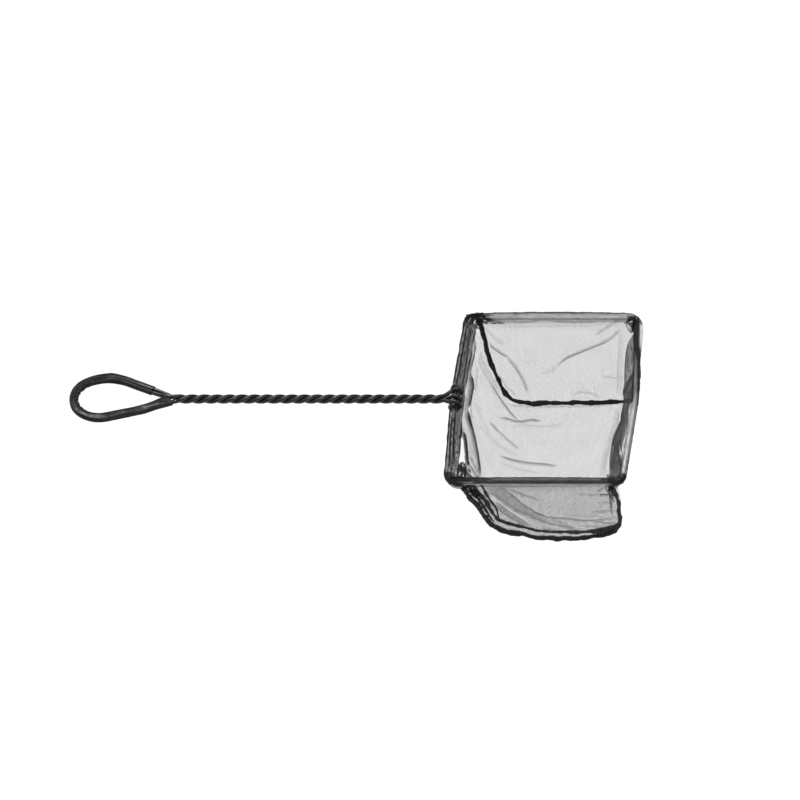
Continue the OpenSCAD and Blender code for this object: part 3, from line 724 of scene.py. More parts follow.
WALL_WRINKLES = [
    ([(474.3, 336), (474, 350), (470.5, 362), (468.2, 374), (469.6, 385), (469, 396)], 1.1, 1.2, 0.62),
    ([(468.2, 374), (470, 386), (469, 398), (466.3, 409)], 2.0, 1.8, 0.8),
    ([(466, 408), (467.5, 418), (471.5, 434), (474.3, 448), (477.3, 465), (478.9, 477)], 2.1, 1.8, 1.0),
    ([(461.8, 430), (464, 441), (465.2, 453), (465.8, 468)], 1.5, 1.2, 0.9),
    ([(464.8, 424), (468.5, 440), (470.8, 455), (472.2, 474)], 0.9, 0.7, 0.16, (2.6, 5.2)),
    ([(467.5, 436), (470, 452), (471.5, 470)], 0.9, 0.5, 0.2),
    ([(470.5, 432), (473, 450), (475, 470)], 0.9, 0.5, 0.15),
    ([(472.5, 352), (470.8, 366), (471.5, 376)], 0.9, 0.6, 0.2),
    ([(477, 366), (476, 380), (475, 392)], 0.9, 0.6, 0.2),
    ([(470.5, 400), (470.5, 412), (472, 420)], 0.9, 0.5, 0.25),
    ([(466, 396), (465, 404), (464, 412)], 1.0, 0.8, 0.4),
    ([(464, 460), (468, 466), (473, 472), (477, 479)], 1.3, 0.8, 0.5),
    ([(468, 456), (472, 464), (477, 474)], 1.2, 0.6, 0.42),
    ([(461, 466), (466, 472), (471, 479)], 1.6, 0.8, 0.5),
]
# Painted highlights on the handle wall: lines where the mesh is made thinner, so that it shows lighter, as
# for the wrinkles
WALL_LIGHTS = [
    ([(462.3, 434), (462.6, 450), (462.6, 466)], 1.0, 0.0, -0.35, (0.2, 2.8)),
    ([(478, 327), (477.8, 333)], 0.6, 0.0, -0.3),
    ([(475.3, 349), (475.5, 358)], 0.6, 0.0, -0.2),
    ([(468.5, 406), (468.2, 414), (469.4, 421)], 1.1, 0.0, -0.3),
]
NEAR_WRINKLES = [
    ([(497.9, 485), (505, 490), (515.7, 497.3), (522.9, 501.6), (530, 507.3), (535.7, 512.3),
      (547.9, 515.1), (567.1, 515.9), (579.3, 518), (593.6, 519.1), (604.3, 518),
      (616, 517.4)], 0.9, 1.0, 0.4),
    ([(487, 490.9), (497.9, 498.7), (508.6, 504.4), (517.9, 510.1), (526.4, 514.4), (537.1, 518.7),
      (547.9, 521.6), (563.6, 525), (572.1, 528), (580, 530.5)], 0.9, 1.0, 0.36),
    ([(489, 486), (501, 493.5), (512, 500.5), (523, 508), (535, 514.7),
      (548, 518.3)], 0.8, 0.9, 0.42, (6.2, 2.6)),
    ([(484, 485), (492, 490), (503, 497), (516, 504.5), (528, 511.5), (542, 517),
      (552, 519)], 3.6, 0.6, 0.22),
    ([(494, 503), (503, 508.5), (512, 514.5), (521, 520.5), (529, 527)], 0.8, 0.9, 0.44, (2.6, 2.0)),
    ([(550, 515.5), (560, 520), (569, 525), (577, 529)], 0.8, 0.9, 0.24, (1.2, 1.0)),
    ([(593.6, 519.4), (601, 521), (611, 522.7), (618, 523.3)], 0.8, 0.7, 0.38),
    ([(506.4, 488), (515.7, 491.6), (526.4, 495.1), (539, 498.3)], 0.8, 0.9, 0.3),
    ([(541, 526.2), (548, 528), (557, 530)], 1.4, 0.7, 0.25),
    ([(573, 493.3), (590, 495), (601, 495.7)], 1.0, 0.7, 0.2),
    ([(599, 495.4), (605, 495.6), (612, 495.6)], 1.0, 0.8, 0.55),
    ([(545, 485.2), (570, 485.6), (597, 485)], 0.9, 0.4, 0.14),
    ([(596, 493), (602, 488.8), (609, 485)], 0.9, 0.7, 0.32),
    ([(597, 503.5), (607, 503), (616, 503)], 0.9, 0.5, 0.18),
    ([(590, 510.5), (605, 511), (617, 511)], 1.2, 0.6, 0.22),
    ([(610, 498), (611.5, 508), (612, 515)], 1.4, 0.5, 0.12),
    ([(567, 511), (585, 513.5), (600, 513.5)], 1.4, 0.6, 0.1),
    ([(487, 491), (489, 500), (494.5, 507.5)], 1.0, 0.9, 0.5),
    # Just below the near casing: painted shade under it; the second of these lines makes the mesh denser
    # without raising it
    ([(470, 485), (486, 485.8), (505, 486.2), (524, 486.2)], 1.0, 0.4, 0.45),
    ([(466, 486), (520, 486.4), (560, 486.2), (612, 485.4)], 1.6, 0.0, 0.24),
    ([(583, 524), (600, 526.5), (612, 525)], 1.2, 0.6, 0.16),
]
# Painted highlights on the near panel: lines where the mesh is made thinner, so that it shows lighter, as
# for the wrinkles
NEAR_LIGHTS = [
    ([(487.5, 494.5), (494, 498.5), (504, 506), (517, 513.5), (528, 521)], 1.0, 0.0, -0.14, (0.8, 1.6)),
    ([(610.5, 488), (612.5, 495), (615.5, 503)], 1.2, 0.0, -0.12),
]
# The inner line of the slack end wall
END_LINE = [(629, 322), (628.6, 330), (627.2, 342), (626.2, 352), (625, 366), (624.2, 382), (623.3, 398),
            (623, 404), (622.8, 420), (619, 428), (614.6, 438), (611.7, 449), (609.6, 461), (608.2, 476),
            (607.6, 490), (610, 510), (616, 524)]
# The outer line of its bunched folds
END_BACK = [(636, 322), (637, 340), (637.5, 352), (637, 380), (635, 398), (629.6, 406), (628.4, 420),
            (625, 430.8), (623.5, 441.7), (624.2, 453), (626.6, 464), (625, 476), (617.5, 490), (615, 510),
            (617, 524)]
END_WRINKLES = [
    ([(628.6, 330), (627.7, 341.7), (626.7, 351.7), (625.5, 366), (624.5, 381.7),
      (623.7, 398)], 1.1, 0.8, 0.5),
    ([(636.5, 369), (631, 378.3), (627, 386.3), (624.3, 394)], 1.2, 1.2, 0.55),
    ([(634.5, 326), (635.6, 340), (637.3, 352), (638, 366), (637.6, 380)], 1.1, 0.9, 0.42, (1.2, 1.4)),
    ([(630, 345), (633, 352), (632, 364)], 1.1, 0.7, 0.25),
    ([(629, 352), (628, 366), (631, 374)], 1.0, 0.6, 0.2),
    ([(632, 384), (634, 389), (631, 395)], 1.1, 0.7, 0.25),
    ([(623.4, 404), (623, 420), (619, 428), (614.6, 438), (611.7, 449), (609.8, 461),
      (608.4, 476)], 1.1, 1.0, 0.5),
    ([(628.3, 407), (628.2, 420), (624.6, 430.8), (623.3, 441.7), (624.2, 453), (627, 464)], 1.0, 0.9, 0.4),
    ([(625.7, 407), (625.2, 421), (620.5, 432), (617.5, 444), (616.5, 458),
      (617, 475)], 1.4, 0.6, 0.2, (1.2, 5.0)),
    ([(617, 440), (614.5, 455), (615, 472)], 0.9, 0.6, 0.25),
    ([(620, 452), (621, 462), (624, 470)], 0.9, 0.6, 0.3),
    ([(622, 402.5), (630, 401), (636, 397.5)], 1.6, 0.0, 0.7),
]
# Painted highlights on the end wall: lines where the mesh is made thinner, so that it shows lighter, as for
# the wrinkles
END_LIGHTS = [
    ([(631.4, 408), (630.8, 428), (629.4, 448), (628.8, 458)], 1.0, 0.0, -0.2, (2.0, 1.6)),
    ([(620, 443), (621.3, 453), (625, 468)], 0.9, 0.0, -0.4),
    ([(629.6, 330), (630.3, 336)], 0.9, 0.0, -0.3),
    ([(617.5, 488), (620, 494), (620.7, 500)], 1.6, 0.0, -0.25),
]


def wrinkled(points, wrinkles, where=1.0):
    """How far each point rises, and how much denser the cloth is made there, partly for its folded layers
    and partly as painted shade, or thinner as a painted highlight, for lines drawn in the photo.
    """
    px, py = in_photo(points)
    rise, cover_and_painted_light = np.zeros(px.shape), np.zeros(px.shape)
    for path, width, height, dark, *half in wrinkles:
        line, inside = crease(px, py, path, width, *half)
        rise += height * np.maximum(line, inside * 0.8) * where
        shade = dark * np.maximum(line, inside * (0.55 if dark > 0 else 1)) * where
        cover_and_painted_light = np.where(np.abs(shade) > np.abs(cover_and_painted_light), shade, cover_and_painted_light)
    return rise, cover_and_painted_light


def make_panel(name, node, side, edge, wrinkles, belly, thin, grain):
    depth, lowest = -edge[:, 1].min(), int(np.argmin(edge[:, 1]))
    rows, columns = 120, 250
    down = (depth + TUCK) * (1 - (1 - np.linspace(0, 1, rows)) ** 1.3) - TUCK
    down[-1] = depth * 0.9995
    ends = []
    for part in (edge[:lowest + 1], edge[lowest:][::-1]):
        fall = np.maximum.accumulate(-part[:, 1]) + np.arange(len(part)) * 1e-6
        ends.append(np.interp(down, fall, part[:, 0])[:, None])
    s = np.linspace(0, 1, columns)[None, :]
    flat = np.stack([mix(*ends, s), np.broadcast_to(-down[:, None], (rows, columns))], axis=-1)
    points = on_panel(side, flat)
    t = (down / depth)[:, None]
    rim = np.minimum(1, np.minimum(np.minimum(s, 1 - s) * 9, (1 - t) * 6))
    top = np.clip(t * 9, 0, 1)
    rise, cover_and_painted_light = wrinkled(points, wrinkles)
    x, y = flat[..., 0], flat[..., 1]
    soft = belly * np.sin(math.pi * s) * np.sin(math.pi * np.clip(t, 0, 1)) ** 0.8
    soft = soft + 0.7 * waves(x, y, 21, 16, 60) + 0.14 * waves(x, y, 22, 4, 9)
    points = points + inward(side) * ((soft * rim + rise * np.minimum(1, rim * 2)) * top)[..., None]
    cover_and_painted_light = cover_and_painted_light + 0.06 * bump(0, 0.05, t) + thin + grain * waves(x, y, 23, 1.6, 6)
    dress(cloth(name, points, cover_and_painted_light), SHEER, "mesh", node)


def swing_end_wall(points, v, depth, past_floor):
    """The end wall hangs slack: it swings in as far as the photo's line, and folds run across it."""
    px, py = in_photo(points)
    far_in, least_in = (np.maximum(0, px - line_across(line, py)) * PIXEL for line in (END_LINE, END_BACK))
    hang = ease(0, 0.1, depth) * ease(0, 0.2, 1 - depth) * past_floor
    fold = 1.3 * depth - 3.4 * v + 1.6 * v**2 + 0.18 * np.sin(5.1 * v + 0.6) + 0.12
    folded = 0.9 * (0.5 - 0.5 * np.sin(2 * math.pi * fold))
    folded = folded + 0.2 * (0.5 + 0.5 * np.cos(4 * math.pi * fold + 1.5 * np.sin(7 * v))) * (1 - folded)
    swing = mix(far_in, np.minimum(least_in, far_in), folded)
    points[..., 0] -= swing * hang * (1 - (1 - v) ** 40) * (1 - v**24)


def fold_handle_wall(points, v, depth, on_wall, rim):
    """The handle wall hangs from its hem in shallow folds that run across the bag."""
    hung = np.sin(math.pi * depth) ** 0.8 * on_wall
    folds = 2.0 * np.sin(2 * math.pi * (2.2 * depth + 0.3 * np.sin(4.2 * v))) * (1 - 0.6 * depth)
    points[..., 0] += (1.5 + folds) * hung * rim
    # below the near corner it stays behind the seam
    px, py = in_photo(points)
    behind = np.maximum(0, line_across(NEAR_SEAM[:7], py) - 0.6 - px)
    points[..., 0] += behind * PIXEL * ease(483.5, 487, py) * on_wall * ease(0.7, 0.8, v)


def make_strip():
    """The one strip of mesh that is the wall at the handle, the floor and the wall at the end."""
    inset = 0.4
    far = on_panel(FAR, FAR_EDGE) + inward(FAR) * inset
    near = on_panel(NEAR, NEAR_EDGE) + inward(NEAR) * inset
    i = np.arange(len(far))[:, None]
    wall_foot, floor_start, floor_stop, end_foot = STRETCHES[:4]
    on_wall, past_floor = (i < floor_start) * 1.0, (i > floor_stop) * 1.0
    depth = np.clip(FAR_EDGE[:, 1] / FAR_EDGE[:, 1].min(), 0, 1)[:, None]
    wall, end = (1 - depth) * on_wall, (1 - depth) * past_floor
    floor = ease(wall_foot, floor_start, i) * (1 - ease(floor_stop, end_foot, i))
    columns = 210
    v = (0.5 - 0.5 * np.cos(np.linspace(0, math.pi, columns))) * 0.4 + np.linspace(0, 1, columns) * 0.6
    v = v[None, :]
    points = mix(far[:, None], near[:, None], v[..., None])
    out = 1 - np.maximum(0, 1 - np.minimum(v, 1 - v) * 2 * HALF_W / CORNER_R) ** 2
    peak, bow = 1 - np.abs(2 * v - 1), 4 * v * (1 - v)
    points[..., 0] += out * (mix(*SEAM_IN_END, v) * end - mix(*SEAM_IN, v) * wall)
    points[..., 0] += peak * (END_BOW * end - NECK_PEAK * wall)
    points[..., 2] -= FLOOR_SAG * bow * floor
    rim = np.minimum(1, np.minimum(v, 1 - v) * 12)
    swing_end_wall(points, v, depth, past_floor)
    fold_handle_wall(points, v, depth, on_wall, rim)
    x, y = points[..., 0].copy(), points[..., 1].copy()
    points[..., 2] += floor * rim * (0.8 * waves(x, y, 31, 18, 60) + 0.14 * waves(x, y, 32, 4, 9))
    base, cover_and_painted_light = points.copy(), np.zeros(points.shape[:2])
    on_end = ease(floor_stop, end_foot, i)
    for wrinkles, where, way in ((FLOOR_WRINKLES, (i > wall_foot // 2) * (i < end_foot) * 1.0, UP),
                                 (WALL_WRINKLES + WALL_LIGHTS, on_wall, ALONG),
                                 (END_WRINKLES + END_LIGHTS, on_end, -ALONG)):
        rise, dark = wrinkled(base, wrinkles, where)
        points = points + way * (rise * rim)[..., None]
        cover_and_painted_light = np.where(np.abs(dark) > np.abs(cover_and_painted_light), dark, cover_and_painted_light)
    # the slack end wall is denser where its threads are bunched
    px, py = in_photo(points)
    bunched = ease(-0.8, 1.0, line_across(END_BACK, py) - px)
    cover_and_painted_light = cover_and_painted_light + on_end * mix(-0.01, mix(0.04, -0.02, ease(0.2, 0.5, v)), bunched)
    cover_and_painted_light = cover_and_painted_light + 0.03 * waves(x + y * 0.3, y - base[..., 2], 33, 2.0, 6)
    dress(cloth("bag_strip", points, cover_and_painted_light), SHEER, "mesh", "gusset")


def rope(name, line, radius, seed, lump):
    """A rope of bound thread, a little uneven, with its radius given at even steps along a line."""
    line = evenly(line, int(run_of(line)[-1] / 0.5))
    at = run_of(line)
    size = np.interp(at / at[-1], np.linspace(0, 1, len(radius)), radius)
    size = size * (1 + lump * ripple(at, seed, 2.5, 9) + lump * 0.8 * ripple(at, seed + 1, 9, 30))
    size = np.maximum(size, 0.25)
    wander = np.stack([ripple(at, seed + 2 + k, 5, 18) for k in range(3)], axis=1)
    return tube(name, line + 0.16 * size[:, None] * wander, size, 14, round_end=0.15)


def make_seams():
    """The bound seams, and beside them their allowances as thinner ropes of gathered mesh."""
    bindings = (
        ("far", FAR, FAR_EDGE, [1.4, 1.4, 1.5, 1.5, 1.45, 1.4, 1.35, 1.2], 41, 0.22),
        ("near", NEAR, NEAR_EDGE, [1.5, 1.6, 1.7, 1.5, 1.5, 1.6, 1.3, 1.5], 51, 0.16),
    )
    for side_name, side, edge, radius, seed, lump in bindings:
        piece = rope(side_name + "_binding", on_panel(side, edge), radius, seed, lump)
        dress(piece, BINDING, "binding", side_name + "_seam")
    allowances = (
        ("near_allowance", NEAR, 1.1, [1.2, 1.5, 1.3, 1.1, 1.0, 1.0, 1.3, 0.6], 61,
         [(472, 485.5), (478.6, 494.4), (485.7, 502.5), (489.6, 509.5), (493, 515.5), (498, 520.7),
          (505, 523.9), (515.7, 526.8), (526.4, 529.3), (537.1, 532), (551.4, 533.3), (575.7, 533.6),
          (586.4, 533.2), (597, 531.2), (607, 529), (617, 526.5)]),
        ("near_allowance_inner", NEAR, 1.6, [0.7, 0.9, 0.8, 0.5], 65,
         [(480.5, 485.5), (486.4, 496.6), (490.7, 503), (495.5, 509.3), (497.5, 514), (498.5, 519)]),
        ("near_allowance_outer", NEAR, 0.6, [1.0, 1.2, 0.9, 0.5], 69,
         [(468, 486), (473.5, 493.5), (479, 500.5), (484.5, 508.5), (489, 516.5), (494, 522.5)]),
        ("near_toe_fold", NEAR, 0.8, [0.5, 1.3, 1.6, 1.4, 0.7], 73,
         [(592, 534.4), (600, 531.6), (608, 530.4), (614, 527.6), (618.5, 524.5)]),
        ("far_allowance", FAR, 0.5, [0.7, 0.6, 0.5, 0.4], 77,
         [(481.5, 323.5), (484.3, 332), (486.8, 342), (489.6, 353.5), (493, 363.5)]),
    )
    for name, side, proud, radius, seed, path in allowances:
        line = on_panel(side, rounded_line(from_photo(side, path), 0.4, 1.5)) + inward(side) * proud
        dress(rope(name, line, radius, seed, 0.24), BINDING, "binding")


# Casing
def round_section(drop):
    """The casing's section: round the wire, narrowing to a stitched foot below."""
    a = np.linspace(-math.pi / 2, 1.5 * math.pi, 48, endpoint=False)
    foot = ease(0.0, 1.0, -np.sin(a))
    left = -CASING_R * np.cos(a) * (1 - 0.72 * foot)
    return a[None, :], left[None, :], (CASING_R * np.sin(a) - foot * (drop - CASING_R))[None, :]


def make_casing(name, node, first, last, seed, drop, cover_and_painted_light_at, push, bulge=0.0):
    """A casing sewn round the frame wire, puckered at its stitches, from bend first to bend last."""
    at, stations = frame_run(first, last, 0.6)
    turn, left, up = round_section(drop)
    foot = ease(0.35, 1.0, -np.sin(turn))
    run, share = at[:, None], (at / at[-1])[:, None]
    pucker = (0.2 * ripple(run, seed, 2.2, 5) + 0.5 * ripple(run, seed + 1, 14, 45)) * foot
    swell = 1 + 0.05 * waves(run, turn * 2.0, seed + 2, 3, 12)
    left = left * swell + pucker
    above = bulge * bump(math.radians(136), 0.9, turn) * np.sin(math.pi * share) ** 0.4
    left = left - push(share) * ease(-0.2, 2.2, -left) + above
    up = up * swell + above + 0.12 * waves(run, turn * 3, seed + 3, 3, 9)
    points = beside(stations, left, up)
    # the turn is -90 degrees at the foot, 0 at the outer side, 90 on top and 180 at the inner side
    streaks = ease(0.1, 0.9, waves(run * 0.22, turn * 2.6, seed + 4, 1.2, 3.2))
    cover_and_painted_light = cover_and_painted_light_at(np.degrees(turn), share, streaks) + wrinkled(points, CORNER_LINES)[1]
    return dress(cloth(name, points, cover_and_painted_light, round_columns=True), CASING, "mesh_casing", node)


def make_round_casings():
    # The far casing: a painted dark line along its upper outer side and faint painted shade lines on its
    # inner side; elsewhere the mesh is thin, with its own streaks
    def far_cover_and_painted_light(turn, share, streaks):
        ends = 0.2 * bump(1, 0.08, share) - 0.5 * bump(0, 0.06, share) * (turn < 110)
        return (0.95 * bump(44, 34, turn) + 0.08 * bump(120, 11, turn) + 0.12 * bump(170, 13, turn)
                - 0.1 + 0.12 * streaks + ends)

    # The near casing is made much denser over its outer side and top than at its foot: painted shade that
    # keeps it dark and hides the wire's highlight, with the mesh's own streaks and denser gathered ends
    def near_cover_and_painted_light(turn, share, streaks):
        ends = bump(0, 0.1, share) + bump(1, 0.06, share)
        return (0.7 * bump(54, 34, turn) + 0.66 * bump(124, 34, turn) - 0.12 * bump(-50, 40, turn)
                - 0.06 + 0.14 * streaks + 0.12 * ends)

    def end_cover_and_painted_light(turn, share, streaks):
        # a painted dark line, shade along the outer side, broader towards the far corner, where it crosses
        # to the inner; towards that corner its foot and outer side are made thinner, as a painted highlight
        broad, inner = ease(0.5, 0.72, share), ease(0.7, 0.82, share)
        line = bump(4 + 24 * broad + 90 * inner, 26 + 22 * broad, turn)
        edge = 0.45 * bump(0, 14, turn) * inner + 0.16 * bump(172, 16, turn) * (1 - broad)
        top = mix(-0.1, 0.22, ease(0.42, 0.56, share))
        light = ease(0.75, 0.84, share) * (1 - ease(50, 90, turn))
        return ((0.9 * line + edge) * (1 - 0.6 * light) + top - 0.4 * light + 0.16 * streaks
                + 0.4 * bump(0, 0.05, share) - 0.8 * ease(0.962, 0.992, share))

    def far_push(share):
        return 0.6 + 1.6 * np.sin(math.pi * np.clip(share * 1.05 - 0.02, 0, 1)) ** 0.8

    def end_push(share):
        return 1.3 * bump(0.88, 0.1, share)

    make_casing("far_casing", "far_hem", 3, 4, 61, FOOT_FAR, far_cover_and_painted_light, far_push)
    make_casing("near_casing", "near_hem", 0, 1, 71, FOOT_NEAR, near_cover_and_painted_light, lambda share: -0.1, bulge=0.8)
    make_casing("end_casing", "end_hem", 1, 3, 81, FOOT_END, end_cover_and_painted_light, end_push)


# Where the mesh is gathered at the frame's corners: dark lines, where the bunched mesh is made denser,
# partly for its layers and partly as painted shade, then light ones, painted highlights where it is made
# thinner, as for the wrinkles
CORNER_LINES = [
    ([(443.8, 462), (444.3, 470), (446, 478), (450, 482.5), (456, 484.8), (464, 485.2)], 1.1, 0, 0.9),
    ([(452, 477.3), (460, 478.6), (471, 480)], 0.9, 0, 0.6),
    ([(459, 465.5), (462, 469), (466, 473.5)], 1.9, 0, 0.6),
    ([(463.8, 321), (466, 317), (471, 315), (478, 314.5), (484, 317)], 1.4, 0, 0.8),
    ([(476, 317), (481, 321), (481, 326)], 2.0, 0, 0.8),
    ([(484, 318), (488, 320.5), (492, 320.5)], 1.0, 0, 0.8),
    ([(627, 322), (631, 319.5), (637, 319.5), (639, 322)], 1.0, 0, 0.8),
    ([(630, 324), (634, 327), (637, 324)], 2.0, 0, 0.8),
    ([(632.5, 328), (633.2, 336), (635.2, 345)], 1.3, 0, 0.7),
    ([(608, 479), (612, 482), (618, 484), (623, 482), (626, 476)], 1.3, 0, 0.8),
    ([(610, 484), (614, 490), (618, 498)], 1.6, 0, 0.6),
    ([(448, 473), (450, 478.5), (454, 481.3)], 0.8, 0, -0.5),
    ([(455, 481.3), (465, 482.1), (474, 482.4)], 0.6, 0, -0.7),
    ([(467, 470.5), (472, 475.5)], 0.8, 0, -0.8),
    ([(456, 471), (457, 476)], 0.8, 0, -0.3),
    ([(468, 321), (471, 317.5)], 0.8, 0, -0.9),
    ([(474, 323), (476, 318.5)], 0.8, 0, -0.8),
    ([(479, 316.5), (483, 318.5)], 0.6, 0, -0.7),
    ([(629, 322.5), (633, 320.8)], 0.6, 0, -0.9),
    ([(628.6, 325), (629, 329)], 0.9, 0, -1),
    ([(635, 320.5), (637, 317.5)], 0.7, 0, -0.9),
    ([(611, 472), (615, 478), (621, 479)], 0.7, 0, -0.8),
    ([(615, 485.5), (619.5, 488), (621, 494)], 1.0, 0, -1),
    ([(620, 474), (624, 478)], 0.6, 0, -0.7),
]
# The handle side's pleats, from the far corner past the neck to the near one, as for the wrinkles: their
# darkness is partly the pleats' folded layers and partly painted shade
PLEATS = [
    ([(464.6, 319), (460.6, 340), (457.1, 362), (452.6, 387)], 1.2, -0.9, 0.8),
    ([(466.4, 330), (463, 348), (461.3, 357), (460, 368), (456, 384), (455, 390)], 0.9, -1.0, 0.75),
    ([(472, 325), (467.5, 350), (466, 365), (463, 383), (461.5, 392)], 0.9, -1.0, 0.7),
    ([(474.5, 332), (474, 350), (470.5, 362), (468, 375)], 1.1, -0.8, 0.8),
    ([(468, 372), (470, 385), (469, 397), (466.4, 409)], 1.6, -1.0, 0.9),
    ([(449.7, 405), (447.3, 438), (444.9, 466)], 1.2, -0.9, 0.8),
    ([(452, 415), (450, 438), (449.7, 466)], 0.8, -1.0, 0.7),
    ([(455.3, 411), (453.7, 438), (454.1, 466)], 0.9, -1.0, 0.7),
    ([(461.8, 424), (460.7, 437), (459.3, 466)], 1.0, -0.8, 0.75),
    ([(457.5, 386), (456, 397), (455.4, 412)], 1.2, -0.8, 0.75),
    ([(463.5, 384), (462.5, 396), (463, 410), (464, 420)], 1.0, -0.8, 0.55),
    ([(460, 392), (459.5, 404), (458, 420), (457, 440)], 0.8, -0.5, 0.3),
]
# Painted highlights on the pleated casing: lines where the mesh is made thinner, as for the wrinkles
PLEAT_LIGHTS = [
    ([(459.3, 386), (459, 394), (457.5, 406)], 0.9, 0.4, -0.3),
    ([(446.6, 409), (446.3, 416), (446, 424)], 0.9, 0.4, -0.3),
    ([(466, 397), (466, 408)], 0.9, 0.4, -0.3),
    ([(456.6, 440), (456.6, 462)], 0.9, 0.4, -0.12),
]
# Where the pleated casing's outer edge lies beside the frame wire, and its width up to the neck and
# past it
PLEATED_OUT, PLEATED_WIDE = -3.5, (9.2, 9.4)


def make_pleated_casing():
    """Along the handle side the mesh is gathered: a broad casing with pleats that run along it."""
    at, stations = frame_run(4, 6, 0.4, 1.5, 1.5)
    run, share = at[:, None], (at / at[-1])[:, None]
    neck = bump(0.5, 0.045, share)
    s, top_share = np.linspace(0, 1, 110, endpoint=False)[None, :], 0.66
    top = s < top_share
    over, under = np.clip(s / top_share, 0, 1), np.clip((s - top_share) / (1 - top_share), 0, 1)
    outer = PLEATED_OUT + 0.3 * ripple(run, 92, 10, 30) + 0.2 * neck
    wide = mix(*PLEATED_WIDE, ease(0.45, 0.75, share)) + 0.3 * ripple(run, 91, 12, 40)
    rise = np.sin(math.pi * np.clip(over * 1.55 + 0.04, 0, 1)) ** 0.6
    round_under = np.sin(math.pi * under)
    left = outer + np.where(top, wide * over, wide * (1 - under) - 1.8 * round_under * (1 - under))
    up = np.where(top, (2.6 - 2.0 * neck * (1 - over)) * rise - 1.1 * over,
                  mix(-1.2, -0.4, under) - 5.0 * round_under ** 0.8)
    points = beside(stations, left, up)
    height, dark = wrinkled(points, PLEATS + PLEAT_LIGHTS, top * 1.0)
    points[..., 2] += np.maximum(height, -0.9) + 0.1 * waves(run, s * 20, 95, 3, 9)
    # no pleat dips below the top of the wire
    over_wire = np.sqrt(np.maximum(0, (WIRE_D / 2 + 0.25) ** 2 - left**2))
    points[..., 2] = np.where(top, np.maximum(points[..., 2], over_wire), points[..., 2])
    streaks = ease(0.0, 1.0, waves(run * 0.2, over * 11, 96, 1.2, 3.4))
    gathers = bump(0, 0.04, share) + bump(1, 0.05, share)
    cover_and_painted_light = np.where(top, 0.19 + dark + 0.36 * streaks, 0.08) + 0.08 * gathers
    cover_and_painted_light = cover_and_painted_light + wrinkled(points, CORNER_LINES)[1]
    piece = cloth("handle_casing", points, cover_and_painted_light, round_columns=True)
    dress(piece, CASING, "mesh_casing", "handle_hem_far", "handle_hem_near")


def make_gathers():
    """Where the mesh is bunched at the frame's four corners: tapering tufts with pleats along them,
    each given by its route from the corner and its radius at even steps."""
    def pleats(seed):
        return lambda share, turn: (0.2 * np.sin(5 * turn + 2.2 * np.sin(3.1 * share + seed) + seed)
                                    + 0.13 * np.sin(9 * turn - 4 * share + seed * 2)
                                    + 0.03 * np.sin(share * 31 + turn * 2 + seed))

    def shade(thick):
        return lambda rib, share, turn: thick - 2.4 * rib + 0.4 * waves(share * 30, turn * 2.2, 45, 2.5, 8)

    corners = {
        "far_handle": (FAR_HANDLE, -0.14, [
            ([(-2, -2, 0.5), (4, -1.0, 1.2), (11, -1.5, -0.4), (17, -2.5, -1.8), (23, -3, -2.5)],
             [3, 3.3, 2.8, 1.3, 0.4]),
            ([(1, -2, 0), (5, -3, -2.6), (7.5, -3, -5.5), (9, -3.2, -9)], [2.6, 3.0, 2.4, 1.2]),
            ([(1, 0, 0.5), (8, 0.6, 1.2), (16, 0.6, 0.8)], [2.4, 2.0, 0.5]),
            ([(-1, -2, 0.5), (-2.4, -10, 0.8), (-4.0, -19, 0.6)], [2.4, 2.0, 0.5])]),
        "near_handle": (NEAR_HANDLE, 0.12, [
            ([(0, 1.5, 0.4), (6, 1.2, 0.8), (14, 1.6, 0.6), (23, 1.6, 0.4), (31, 1.4, 0)],
             [2.4, 2.2, 1.9, 1.5, 0.5]),
            ([(7, 3, -1.5), (8.2, 9, -1.2), (8.6, 14, -0.9), (8.8, 18, -0.8)], [2.4, 3.0, 3.0, 1.4]),
            ([(12, 2, -2.6), (12.2, 8, -2.6), (12.6, 14, -2.8)], [2.2, 2.4, 1.2]),
            ([(14, 1, -3.5), (17, 5, -4), (19, 10, -5)], [1.8, 1.8, 0.5]),
            ([(11, 0.4, -3.2), (13.5, 0, -6.5), (16, -0.4, -10), (20, 0, -15)], [1.2, 1.5, 1.6, 0.6]),
            ([(11, 0.4, -4.2), (16, -0.2, -7.5), (20, -0.8, -11)], [1.8, 1.9, 0.5])]),
        "far_end": (FAR_END, -0.1, [
            ([(-0.5, -1, 0.8), (-2.6, -4, 0.5), (-4.4, -8, -0.8), (-5.0, -12, -2)], [1.9, 2.6, 2.3, 0.7]),
            ([(-1, -1.5, 0.5), (-5, -2.4, -0.4), (-9, -4.2, -1.4)], [2.0, 1.6, 0.5]),
            ([(-6.4, -3.5, -0.6), (-7, -7, -1.2), (-6.4, -10.5, -1.8)], [0.8, 1.0, 0.4])]),
        "near_end": (NEAR_END, -0.14, [
            ([(1, 2, 0.4), (-4, 2.4, -0.4), (-10, 3, -1.4), (-17, 2.6, -2)], [2.4, 2.6, 2.0, 0.5]),
            ([(-3, 3, -1.5), (-6, 6, -3), (-9, 12, -5.5)], [2.2, 2.4, 0.6]),
            ([(-9, 1, -3), (-8.4, 0.4, -7), (-6.4, -0.6, -11), (-4.4, -1.6, -16)], [1.8, 1.6, 1.2, 0.5]),
            ([(0, 4, -0.4), (0.6, 9, -0.6), (1.4, 14, -0.4)], [1.8, 1.5, 0.4])]),
    }
    for corner, (where, thick, tufts) in corners.items():
        for n, (route, radius) in enumerate(tufts):
            seed = len(corner) + 3.7 * n
            line = rounded_line(np.array(route) + level(where), 0.35, 2.5)
            size = np.interp(np.linspace(0, 1, len(line)), np.linspace(0, 1, len(radius)), radius)
            piece = tube(f"{corner}_gather_{n + 1}", line, size, 44, ribs=pleats(seed), shade=shade(thick))
            dress(piece, CASING, "mesh_casing")


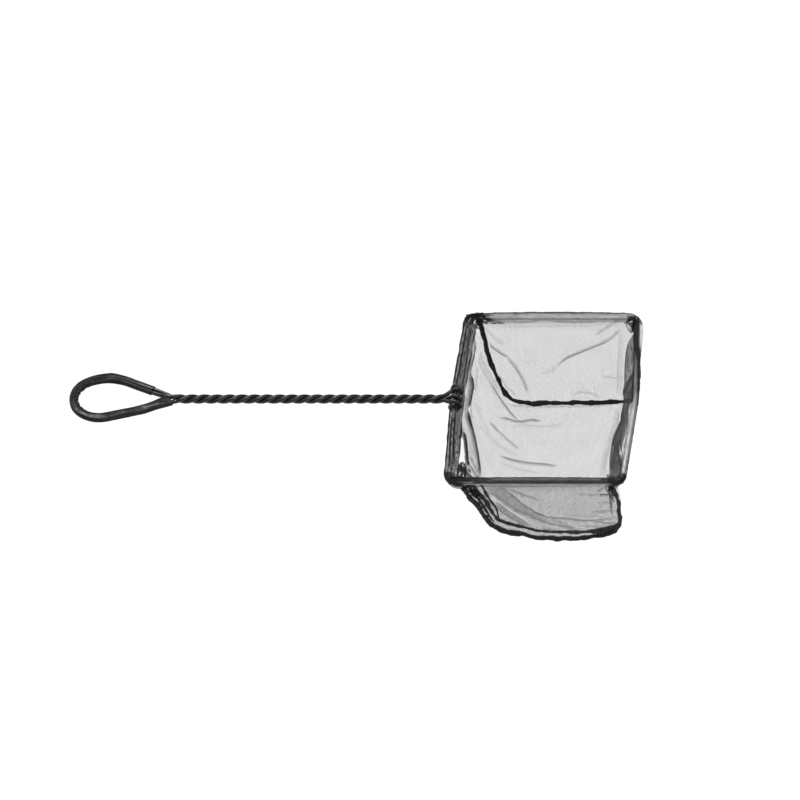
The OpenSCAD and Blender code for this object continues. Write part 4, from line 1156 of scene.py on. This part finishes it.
# Stage
def add_camera():
    """The photo's camera, level across."""
    data = bpy.data.cameras.new("photo_camera")
    data.sensor_width, data.lens = SENSOR, LENS
    data.clip_start, data.clip_end = 0.1, 60
    camera = bpy.data.objects.new("photo_camera", data)
    camera.location = Vector((AIM - AHEAD * CAMERA_FAR) * MM)
    camera.rotation_euler = (math.pi / 2 - TILT, 0, 0)
    bpy.context.scene.collection.objects.link(camera)
    bpy.context.scene.camera = camera


def add_sun(name, turn, height, angle, power):
    data = bpy.data.lights.new(name, "SUN")
    data.energy, data.angle = power, math.radians(angle)
    lamp = bpy.data.objects.new(name, data)
    a, h = math.radians(turn), math.radians(height)
    way = Vector((math.cos(a) * math.cos(h), math.sin(a) * math.cos(h), math.sin(h)))
    lamp.rotation_euler = way.to_track_quat("Z", "Y").to_euler()
    bpy.context.scene.collection.objects.link(lamp)


def add_stage():
    scene = bpy.context.scene
    world = bpy.data.worlds.new("studio")
    world.use_nodes = True
    sky = world.node_tree.nodes["Background"].inputs
    sky["Color"].default_value, sky["Strength"].default_value = (1, 1, 1, 1), 0.42
    scene.world = world
    scene.view_settings.view_transform = "Standard"
    scene.cycles.transparent_max_bounces = 56  # many sheer layers lie one behind another
    add_sun("soft_overhead", turn=112, height=60, angle=14, power=2.6)
    add_sun("soft_front", turn=-70, height=48, angle=20, power=0.7)
    half, low = 20000, -550
    corners = [(-half, -half, low), (half, -half, low), (half, half, low), (-half, half, low)]
    floor = add_mesh("studio_floor", corners, [(0, 1, 2, 3)], smooth=False)
    floor.data.materials.append(FLOOR)


add_camera()
add_stage()
make_frame_wire()
make_strands()
make_sleeve()
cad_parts["loop_wire"].material_slots[0].material = COATED
make_panel("far_side", "far_panel", FAR, FAR_EDGE, FAR_WRINKLES, -2.0, 0.0, 0.03)
make_panel("near_side", "near_panel", NEAR, NEAR_EDGE, NEAR_WRINKLES + NEAR_LIGHTS, -2.5, -0.03, 0.06)
make_strip()
make_seams()
make_round_casings()
make_pleated_casing()
make_gathers()
